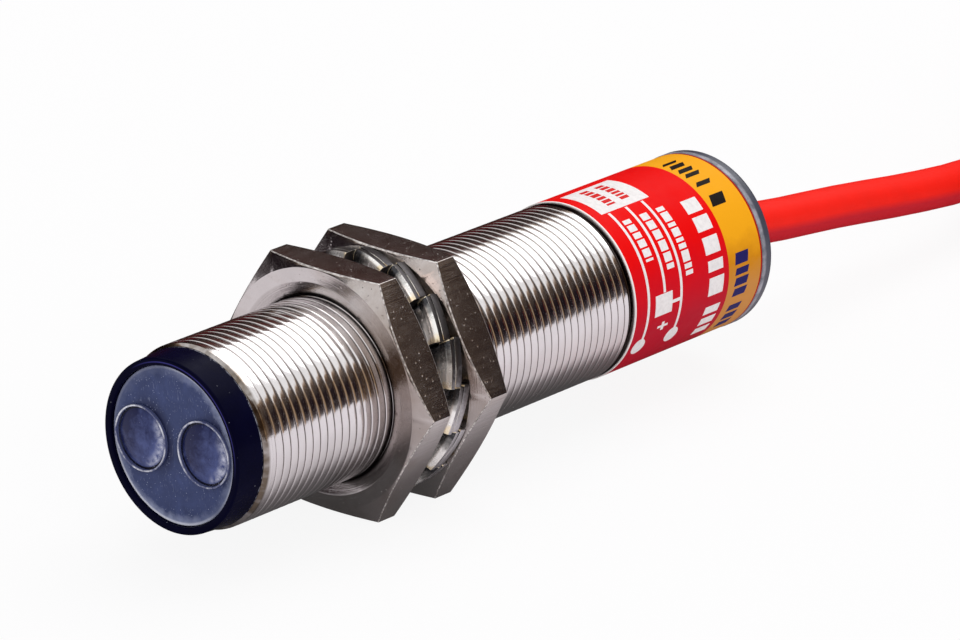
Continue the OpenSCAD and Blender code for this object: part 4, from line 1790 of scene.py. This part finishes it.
@dataclass
class HexNut:
    """A turned hexagon nut with a chamfered face, worn corners and a countersunk bore.

    The columns are the angles on either side of a flat's middle at which its points stand. A profile
    point at the radius cone_mark or flat_mark stands for one on the hexagon, on the cone or on the flat.
    """

    body: Body
    across: float = 24.0
    thickness: float = 4.0
    face_r: float = 11.8
    slope: float = 0.4
    bore_r: float = 9.05
    sink_r: float = 10.45
    sink: float = 0.5
    edge: float = 0.09
    cone_mark: int = 20
    flat_mark: int = 21
    columns: tuple = (1.7, 5, 8.5, 12, 15.5, 19, 22.5, 25.5, 28, 29.9)

    def profile(self, start: float) -> list:
        """The nut's section, whose front face lies at a start behind the sensing face."""
        end, cone, flat = start + self.thickness, self.cone_mark, self.flat_mark
        return rounded([
            (self.bore_r, start + self.sink, 0.06), (self.sink_r, start, 0.06), (self.face_r, start, 0.08),
            (cone, start + 1, 0), (flat, start + 1, 0), (flat, end - 1, 0), (cone, end - 1, 0),
            (self.face_r, end, 0.08), (self.sink_r, end, 0.06), (self.bore_r, end - self.sink, 0.06),
        ], 2)

    def hexed(self, vert: Vert, start: float) -> None:
        """Moves a turned point to its column, and out to the hexagon if it belongs there.

        Args:
            vert: The point.
            start: The front face's distance behind the sensing face.
        """
        columns, radius = [-column for column in self.columns[::-1]] + list(self.columns), off_axis(vert.co)
        count = 6 * len(columns)
        flat, number = divmod(round(math.atan2(vert.co.z, vert.co.x) / math.tau * count) % count, len(columns))
        phi = math.radians(columns[number])
        if radius > self.cone_mark - 1:
            on_cone = round(radius) == self.cone_mark
            radius = self.across / 2 / math.cos(phi) - (self.edge if on_cone else 0)
            rise = self.slope * (radius - self.face_r) + (0 if on_cone else self.edge)
            front = vert.co.y < start + self.thickness / 2
            vert.co.y = start + rise if front else start + self.thickness - rise
        angle = math.radians(60 * flat + 30) + phi
        vert.co.x, vert.co.z = radius * math.cos(angle), radius * math.sin(angle)

    def build(self, made: Made) -> None:
        """Makes the nut in place of its CAD solid, whose name its body shares.

        Args:
            made: The mixed materials.
        """
        node = self.body.value
        start = behind_face(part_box(node)[0].y)
        bm = bmesh.new()
        lathe(bm, self.profile(start), 12 * len(self.columns))
        for face in bm.faces:
            backs = [vert.co.y for vert in face.verts]
            outside = min(off_axis(vert.co) for vert in face.verts) > self.cone_mark - 1
            face.material_index = int(outside and max(backs) - min(backs) < 0.5)
        for vert in bm.verts:
            self.hexed(vert, start)
        bmesh.ops.recalc_face_normals(bm, faces=bm.faces)
        obj = to_object(bm, f"{node}_turned", made[Slot.NUT], 60)
        obj.data.materials.append(made[Detail.EDGE])
        keep_piece(obj, Slot.NUT, self.body, (node,))


@dataclass
class LockWasher:
    """An external-tooth washer stamped from sheet, each tooth twisted about its own radius."""

    node: str
    body: Body
    crown: float = 0.45
    ring_r: float = 10.35
    crown_r: float = 11.3
    tip_r: float = 11.95
    radii: tuple = (9.25, 9.7, 10.1, 10.35, 10.6, 10.85, 11.1, 11.3, 11.46, 11.62, 11.78, 11.95)
    twist_from: float = 10.15
    twist_over: float = 0.6
    sheet: float = 0.85
    teeth: int = 16
    twist: float = 15.0
    phase: float = -5.25
    gap: float = 0.55
    cells: int = 12

    def stamp(self) -> Mesh:
        """Stamps the flat blank, slits it between the teeth and twists them.

        Returns:
            The sheet's middle surface, in millimetres, with its front towards -Y.
        """
        bm = bmesh.new()
        per_tooth = self.cells + 1
        columns = self.teeth * per_tooth
        lathe(bm, [(radius, 0) for radius in self.radii], columns, False)

        def column_of(spot: Vector) -> float:
            """How many columns lie between the +X side and a point."""
            return math.atan2(spot.z, spot.x) % math.tau / (math.tau / columns)

        middles = [(face, face.calc_center_median()) for face in bm.faces]
        slit = [
            face for face, spot in middles
            if int(column_of(spot)) % per_tooth == self.cells and off_axis(spot) > self.ring_r
        ]
        bmesh.ops.delete(bm, geom=slit, context="FACES")
        half = math.pi / self.teeth - math.radians(self.gap) / 2
        for vert in bm.verts:
            radius = off_axis(vert.co)
            tooth, cell = divmod(round(column_of(vert.co)) % columns, per_tooth)
            local = -half + 2 * half * cell / self.cells
            angle = math.radians(self.phase) + tooth * math.tau / self.teeth + local
            share = ease(min(1, max(0, (radius - self.twist_from) / self.twist_over)))
            back = radius * math.sin(local) * math.tan(math.radians(self.twist)) * share
            vert.co = (radius * math.cos(angle), back, radius * math.sin(angle))
        return bm

    def build(self, made: Made) -> None:
        """Makes the washer in place of its CAD solid, with its teeth thinner towards their tips.

        Args:
            made: The mixed materials.
        """
        bm = self.stamp()
        bmesh.ops.recalc_face_normals(bm, faces=bm.faces)
        if sum(face.normal.y for face in bm.faces) > 0:
            bmesh.ops.reverse_faces(bm, faces=bm.faces)
        shares = [max(0, off_axis(vert.co) - self.crown_r) / (self.tip_r - self.crown_r) for vert in bm.verts]
        back = behind_face(middle(self.node).y) + self.sheet / 2
        bmesh.ops.translate(bm, verts=bm.verts, vec=(0, back, 0))
        obj = to_object(bm, f"{self.node}_stamped", made[Detail.TOOTH], 50, weighted=False)
        obj.data.materials.append(made[Detail.SHEARED])
        obj.data.materials.append(made[Slot.WASHER])
        full = obj.vertex_groups.new(name="sheet")
        for number, share in enumerate(shares):
            full.add([number], 1 - self.crown * share**2, "REPLACE")
        wall = obj.modifiers.new("sheet", "SOLIDIFY")
        wall.thickness, wall.offset, wall.use_even_offset = self.sheet * MM, 1, False
        wall.material_offset_rim, wall.vertex_group = 1, full.name
        soften(obj, 0.08, 36).material = 2
        even_normals(obj, 50)
        keep_piece(obj, Slot.WASHER, self.body, (self.node,))


@dataclass(frozen=True)
class Mark:
    """One printed shape: from and to behind the face and round the axis, how far it leans, and its form."""

    back: tuple
    angles: tuple
    lean: float = 0.0
    oval: bool = False


@dataclass
class Label:
    """The printed film round the smooth rear of the barrel, with its plain marks.

    Distances are in millimetres behind the sensing face, and angles in degrees above the +X side.
    """

    inner_r: float = 9.02
    outer_r: float = 9.14
    start: float = 56.05
    end: float = 76.03
    ink: float = 0.015
    cell: float = 3.0
    bar_least: float = 2.0
    bar_gap: float = 1.3
    row_end: float = 1.5
    oval_rise: float = 1.6
    block: tuple = (Mark((57.5, 64.8), (102, 68)),)
    wires: tuple = (
        Mark((58.25, 58.6), (67, -22), -0.4), Mark((60.85, 61.2), (67, 6), -0.4),
        Mark((63.3, 63.65), (67, -23), -0.4), Mark((59.2, 61.8), (5.5, -8.5)), Mark((61.8, 63.3), (-0.9, -3.1)),
    )
    signs: tuple = (
        Mark((56.85, 58.75), (-21.5, -33.5), oval=True), Mark((62.05, 63.95), (-22.5, -34.5), oval=True),
        Mark((60.0, 61.6), (-16.2, -17.8)), Mark((60.6, 61.0), (-14, -20)),
    )
    broad: tuple = ((56, 46), (43, 33), (29, 18), (14, 7), (3, -9), (-17, -23), (-26, -32), (-35, -41))
    short: tuple = ((93, 90), (87.5, 83), (80.5, 76.5), (74.5, 71), (65, 61.5), (53, 45))
    low: tuple = ((12.5, 5), (2.5, -2), (-4, -9.5), (-11.5, -17), (-24, -29), (-31.5, -37), (-39.5, -45))

    def bars(self, back: tuple, angles: tuple, lean: float) -> tuple:
        """Bars of one row, each from and to its own angles."""
        return tuple(Mark(back, pair, lean) for pair in angles)

    def row(self, back: tuple, angles: tuple, seed: int, longest: float = 7.0) -> tuple:
        """A row of plain short bars, in place of small print.

        Args:
            back: Where the row starts and ends behind the sensing face.
            angles: Where it starts and ends round the axis.
            seed: Which spacing it gets.
            longest: The longest bar in degrees.

        Returns:
            Its marks.
        """
        dice, here, pairs = random.Random(seed), angles[0], []
        while here > angles[1] + self.row_end:
            wide = min(dice.uniform(self.bar_least, longest), here - angles[1])
            pairs.append((here, here - wide))
            here -= wide + self.bar_gap
        return self.bars(back, pairs, -0.05)

    def lay(self, bm: Mesh, mark: Mark, ink: float) -> None:
        """Lays one printed shape on the film.

        Args:
            bm: The mesh of that ink.
            mark: The shape.
            ink: How thick the ink is in millimetres.
        """
        first, last = mark.angles
        if mark.oval:
            grown = bmesh.ops.create_circle(bm, cap_ends=True, cap_tris=True, segments=24, radius=0.5)
        else:
            cells = max(1, round(abs(last - first) / self.cell))
            grown = bmesh.ops.create_grid(bm, x_segments=cells, y_segments=1, size=0.5)
        verts = grown["verts"]
        faces = list({face for vert in verts for face in vert.link_faces})
        upper = set(only_verts(bmesh.ops.extrude_face_region(bm, geom=faces, use_keep_orig=True)["geom"]))
        for vert in set(verts) | upper:
            share, across = vert.co.x + 0.5, vert.co.y + 0.5
            angle = math.radians(first + (last - first) * share)
            place = mark.back[0] + (mark.back[1] - mark.back[0]) * across + mark.lean * share
            rise = ink * (self.oval_rise if mark.oval else 1.0)
            radius = self.outer_r + (rise if vert in upper else -ink)
            vert.co = (radius * math.cos(angle), place, radius * math.sin(angle))

    def print_ink(self, name: str, material: Material, marks: tuple, ink: float) -> None:
        """Makes the piece of one ink.

        Args:
            name: The piece's name.
            material: Its finish.
            marks: Its shapes.
            ink: How thick it is in millimetres.
        """
        bm = bmesh.new()
        for mark in marks:
            self.lay(bm, mark, ink)
        bmesh.ops.recalc_face_normals(bm, faces=bm.faces)
        keep_piece(to_object(bm, name, material, 40, weighted=False), Slot.LABEL)

    def build(self, made: Made) -> None:
        """Makes the film and its four inks.

        Args:
            made: The mixed materials.
        """
        film = turned(
            "label_film", made[Slot.LABEL], 40, (self.inner_r, self.start, 0), (self.outer_r, self.start, 0.04),
            (self.outer_r, self.end, 0.04), (self.inner_r, self.end, 0), steps=192,
        )
        keep_piece(film, Slot.LABEL, stands_for=("label",))
        rows = self.row((58.95, 60.05), (58, 28), 3) + self.row((61.55, 62.65), (58, 19), 5)
        rows += self.row((64.1, 65.2), (58, 11), 8) + self.bars((67.6, 69.9), self.broad, -0.1)
        white = self.block + self.wires + self.signs + rows
        red = self.row((59.4, 60.6), (97, 73), 11, 4.0) + self.row((61.7, 62.9), (97, 73), 12, 4.0)
        self.print_ink("label_print_white", made[Detail.WHITE_INK], white, self.ink)
        self.print_ink("label_print_red", made[Detail.RED_INK], red, 2 * self.ink)
        black, blue = self.bars((71.7, 73.8), self.short, -0.5), self.bars((71.9, 73.9), self.low, -0.2)
        self.print_ink("label_print_black", made[Detail.BLACK_INK], black, self.ink)
        self.print_ink("label_print_blue", made[Detail.BLUE_INK], blue, self.ink)


@dataclass
class RearEnd:
    """The slate cap with its light pipe and trimmer, and the rubber bushing round the cable."""

    bore_r: float = 2.30
    neck_r: float = 2.88
    collar_r: float = 3.5
    collar: float = 2.18

    def bushing(self, material: Material) -> Object:
        """Turns the bushing with a soft ridged collar.

        Args:
            material: Its finish.

        Returns:
            The bushing.
        """
        start, end = (behind_face(corner.y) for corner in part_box("strain_relief"))
        outer, neck, front = self.collar_r, self.neck_r, end - self.collar
        return turned(
            "cable_bushing", material, 60, (self.bore_r, start, 0), (neck, start, 0.1), (neck, front, 0),
            (outer, front, 0.1), (outer, end - 1.35, 0.08), (outer - 0.22, end - 1.2, 0.08),
            (outer - 0.05, end - 1.0, 0.08), (outer - 0.12, end - 0.62, 0.08), (outer - 0.34, end - 0.5, 0.08),
            (outer - 0.3, end - 0.25, 0.08), (outer - 0.42, end, 0.12), (self.bore_r, end, 0.1), steps=96,
        )

    def build(self, made: Made) -> None:
        """Makes the visible rear pieces.

        Args:
            made: The mixed materials.
        """
        for node, name, slot, cut, body in (
            ("rear_cap", "rear_cap_moulded", Slot.CAP, 0.05, Body.SENSOR),
            ("light_pipe", "light_pipe_moulded", Slot.LIGHT_PIPE, 0.12, Body.SENSOR),
            ("trimmer_screw", "trimmer_turned", Slot.TRIMMER, 0.06, Body.TRIMMER),
        ):
            keep_piece(smooth_copy(node, name, made[slot], cut), slot, body, (node,))
        keep_piece(self.bushing(made[Slot.BUSHING]), Slot.BUSHING, stands_for=("strain_relief",))


@dataclass
class Studio:
    """A plain pale floor, soft light and dark cards that only polished surfaces see."""

    floor_size: float = 6.0
    ring_r: float = 0.45
    ring_high: float = 0.285
    gap: tuple = (-118.0, -78.0)
    floor_shares: tuple = (0.90, 0.06, 0.80)
    # The painted shadow round the sensor, which only mirrors see, from dark near it to pale.
    mirror_shadow_tones: tuple = (
        (0.09, (0.045, 0.035, 0.035)), (0.17, (0.19, 0.165, 0.17)), (0.24, (0.74, 0.70, 0.72)),
        (0.6, (0.86, 0.83, 0.86)),
    )
    mirror_shadow_spot: tuple = (0.015, 0.060)
    wall_tones: tuple = (
        (0.00, (0.085, 0.070, 0.075)), (0.10, (0.045, 0.034, 0.036)), (0.28, (0.010, 0.006, 0.009)),
        (0.54, (0.018, 0.011, 0.013)), (0.63, (0.052, 0.039, 0.033)), (0.82, (0.080, 0.055, 0.042)),
        (0.93, (0.20, 0.125, 0.075)), (1.00, (0.62, 0.46, 0.32)),
    )
    card_tones: tuple = (
        (0.0, (0.035, 0.016, 0.014)), (0.19, (0.085, 0.008, 0.012)), (0.34, (0.022, 0.014, 0.013)),
        (0.56, (0.052, 0.036, 0.031)), (0.74, (0.085, 0.022, 0.020)), (1.0, (0.14, 0.095, 0.07)),
    )
    gold: Colour = (0.62, 0.42, 0.25)
    umber: Colour = (0.12, 0.078, 0.052)
    paper: Colour = (0.84, 0.82, 0.84)
    daylight: Colour = (1, 0.99, 1)
    light: float = 0.62
    card_high: float = 0.135
    card_low: float = 0.052
    card_reach: float = 0.13
    card_step: tuple = (0.012, 0.034)
    card_turn: float = 44.0
    card_place: tuple = (-0.092, 0.095, 0)

    def world(self) -> None:
        """A white backdrop for eye, mirror and glass, and even soft light for everything else."""
        world = bpy.data.worlds.new("studio_white")
        bpy.context.scene.world = world
        world.use_nodes = True
        world.node_tree.nodes.clear()
        graph = Graph(world.node_tree)
        soft = graph.node("Background", {"Color": self.daylight, "Strength": self.light}).outputs[0]
        seen = graph.node("Background", {"Color": (1, 1, 1), "Strength": 1.0}).outputs[0]
        mix = graph.node("MixShader", {0: graph.whiteness(1.0, 1.0, 1.0), 1: soft, 2: seen}).outputs[0]
        graph.node("OutputWorld", {"Surface": mix})

    def floor(self) -> Object:
        """The pale floor, which keeps the shadow and, to a mirror only, has a painted shadow right under the
        sensor.

        Returns:
            The floor.
        """
        bm = bmesh.new()
        bmesh.ops.create_grid(bm, x_segments=1, y_segments=1, size=self.floor_size / 2)
        paint = Recipe("floor_white")
        x, y, _ = paint.split(paint.node("TexCoord").outputs["Object"])
        aside, ahead = (paint.calc("DIVIDE", part, size) for part, size in zip((x, y), self.mirror_shadow_spot))
        # Painted shadow, dark near the sensor, for mirror rays only.
        tone = paint.ramp(paint.span(paint.length(paint.join(aside, ahead, 0.0)), 0, 4), self.mirror_shadow_tones)
        glossy = paint.node("LightPath").outputs["Is Glossy Ray"]
        paper = paint.node("BsdfDiffuse", {"Color": paint.blend(glossy, self.paper, tone)}).outputs[0]
        glow = paint.node("Emission", {"Color": (1, 1, 1)}).outputs[0]
        mix = paint.node("MixShader", {0: paint.whiteness(*self.floor_shares), 1: paper, 2: glow}).outputs[0]
        return to_mesh(bm, "studio_floor", paint.surface(mix))

    def card(self, bm: Mesh, name: str, paint: Recipe, tone: Socket) -> Object:
        """Makes a card that takes no light and that only reflections show.

        Args:
            bm: Its mesh, in metres.
            name: Its name.
            paint: The recipe of its tones.
            tone: What it shows.

        Returns:
            The card.
        """
        obj = to_mesh(bm, name, paint.surface(paint.node("Emission", {"Color": tone}).outputs[0]))
        obj.visible_camera = obj.visible_diffuse = obj.visible_transmission = False
        obj.visible_shadow = obj.visible_volume_scatter = False
        return obj

    def wall(self) -> Object:
        """A low wall behind and beside the object: dark, warm at its upper edge and at its right end.

        Returns:
            The wall.
        """
        bm = bmesh.new()
        ring = bmesh.ops.create_cone(
            bm, cap_ends=False, segments=90, radius1=self.ring_r, radius2=self.ring_r, depth=self.ring_high,
        )
        bmesh.ops.translate(bm, verts=ring["verts"], vec=(0, 0, self.ring_high / 2 + 0.001))
        middles = [(face, face.calc_center_median()) for face in bm.faces]
        low, high = (math.radians(degrees) for degrees in self.gap)
        gap = [face for face, spot in middles if low < math.atan2(spot.y, spot.x) < high]
        bmesh.ops.delete(bm, geom=gap, context="FACES")
        paint = Recipe("card_dark")
        x, y, z = paint.split(paint.node("TexCoord").outputs["Object"])
        tone = paint.ramp(paint.span(z, 0, self.ring_high), self.wall_tones)
        turn = paint.calc("ARCTAN2", y, x)

        def sector(start: float, end: float) -> Socket:
            """A share that grows from one angle to another, in degrees."""
            return paint.span(turn, math.radians(start), math.radians(end))

        front = paint.calc("GREATER_THAN", turn, math.radians(-90))
        tone = paint.blend(paint.times(sector(24, -20), front), tone, self.umber)
        tone = paint.blend(paint.times(sector(38, 22), sector(-12, 6)), tone, self.gold)
        return self.card(bm, "reflection_wall", paint, tone)

    def low_card(self) -> Object:
        """A low maroon card behind the barrel, for the streaks along its far side.

        Returns:
            The card.
        """
        bm = bmesh.new()
        step, high, low = self.card_step, self.card_high, self.card_low
        columns = []
        for across, top in ((-self.card_reach, high), (step[0], high), (step[1], low), (self.card_reach, low)):
            spots = ((across, -0.10, 0.0008), (across, 0, 0.0008), (across, 0, top))
            columns.append([bm.verts.new(spot) for spot in spots])
        for left, right in zip(columns, columns[1:]):
            for row in range(2):
                bm.faces.new((left[row], right[row], right[row + 1], left[row + 1]))
        turn = Matrix.Rotation(math.radians(self.card_turn), 3, "Z")
        bmesh.ops.rotate(bm, verts=bm.verts, cent=(0, 0, 0), matrix=turn)
        bmesh.ops.translate(bm, verts=bm.verts, vec=self.card_place)
        paint = Recipe("card_maroon")
        height = paint.split(paint.node("TexCoord").outputs["Object"])[2]
        tone = paint.ramp(paint.span(height, 0, self.card_high), self.card_tones)
        return self.card(bm, "reflection_card", paint, tone)

    def lamp(self, name: str, place: tuple, size: tuple, watts: float, colour: Colour, mirrored: bool) -> None:
        """Hangs one soft lamp that points at the sensor.

        Args:
            name: Its name.
            place: Where it hangs.
            size: Its width and height in metres.
            watts: Its power.
            colour: Its colour.
            mirrored: Whether polished surfaces show it.
        """
        data = bpy.data.lights.new(name, "AREA")
        data.shape, data.size, data.size_y = "RECTANGLE", *size
        data.energy, data.color = watts, colour
        lamp = link(name, data)
        lamp.location = place
        lamp.rotation_euler = (Vector((0, 0, 0.01)) - Vector(place)).to_track_quat("-Z", "Y").to_euler()
        lamp.visible_glossy = mirrored

    def build(self) -> None:
        """Sets the floor, the cards and the lamps."""
        self.world()
        self.floor()
        self.wall()
        self.low_card()
        self.lamp("top_softbox", (-0.03, 0.36, 0.70), (0.7, 0.7), 3.2, (1, 1, 1), True)
        self.lamp("side_fill", (0.7, -0.35, 0.45), (0.5, 0.4), 1.2, (1.0, 0.98, 1.0), False)
        bpy.context.scene.view_settings.view_transform = "Standard"


NODE_SLOTS = {row["node"]: Slot(row["material_slot"]) for row in frame["record"]["subparts"]}


def dress_nodes(made: Made) -> None:
    """Gives every CAD node the finish of its slot.

    Args:
        made: The mixed materials.
    """
    for name, obj in frame["nodes"].items():
        material = made[NODE_SLOTS[name]]
        if not obj.data.materials:
            obj.data.materials.append(material)
        for holder in obj.material_slots:
            holder.material = material
    log.info("dressed %d nodes", len(frame["nodes"]))


def main() -> None:
    """Builds the camera, the cable, the sub-assemblies and the studio, in that order."""
    form = "%(relativeCreated)6d %(name)s: %(message)s"
    logging.basicConfig(level=logging.INFO, format=form, stream=sys.stdout)
    made = Palette().mix_all()
    Viewpoint().build()
    for part in (
        Cable(), Barrel(), SensingFace(), HexNut(Body.FRONT_NUT), HexNut(Body.REAR_NUT),
        LockWasher("front_lock_washer", Body.FRONT_WASHER),
        LockWasher("rear_lock_washer", Body.REAR_WASHER, crown=0.08), Label(), RearEnd(),
    ):
        part.build(made)
        log.info("built %s", type(part).__name__)
    dress_nodes(made)
    Studio().build()


if __name__ == "__main__":
    main()
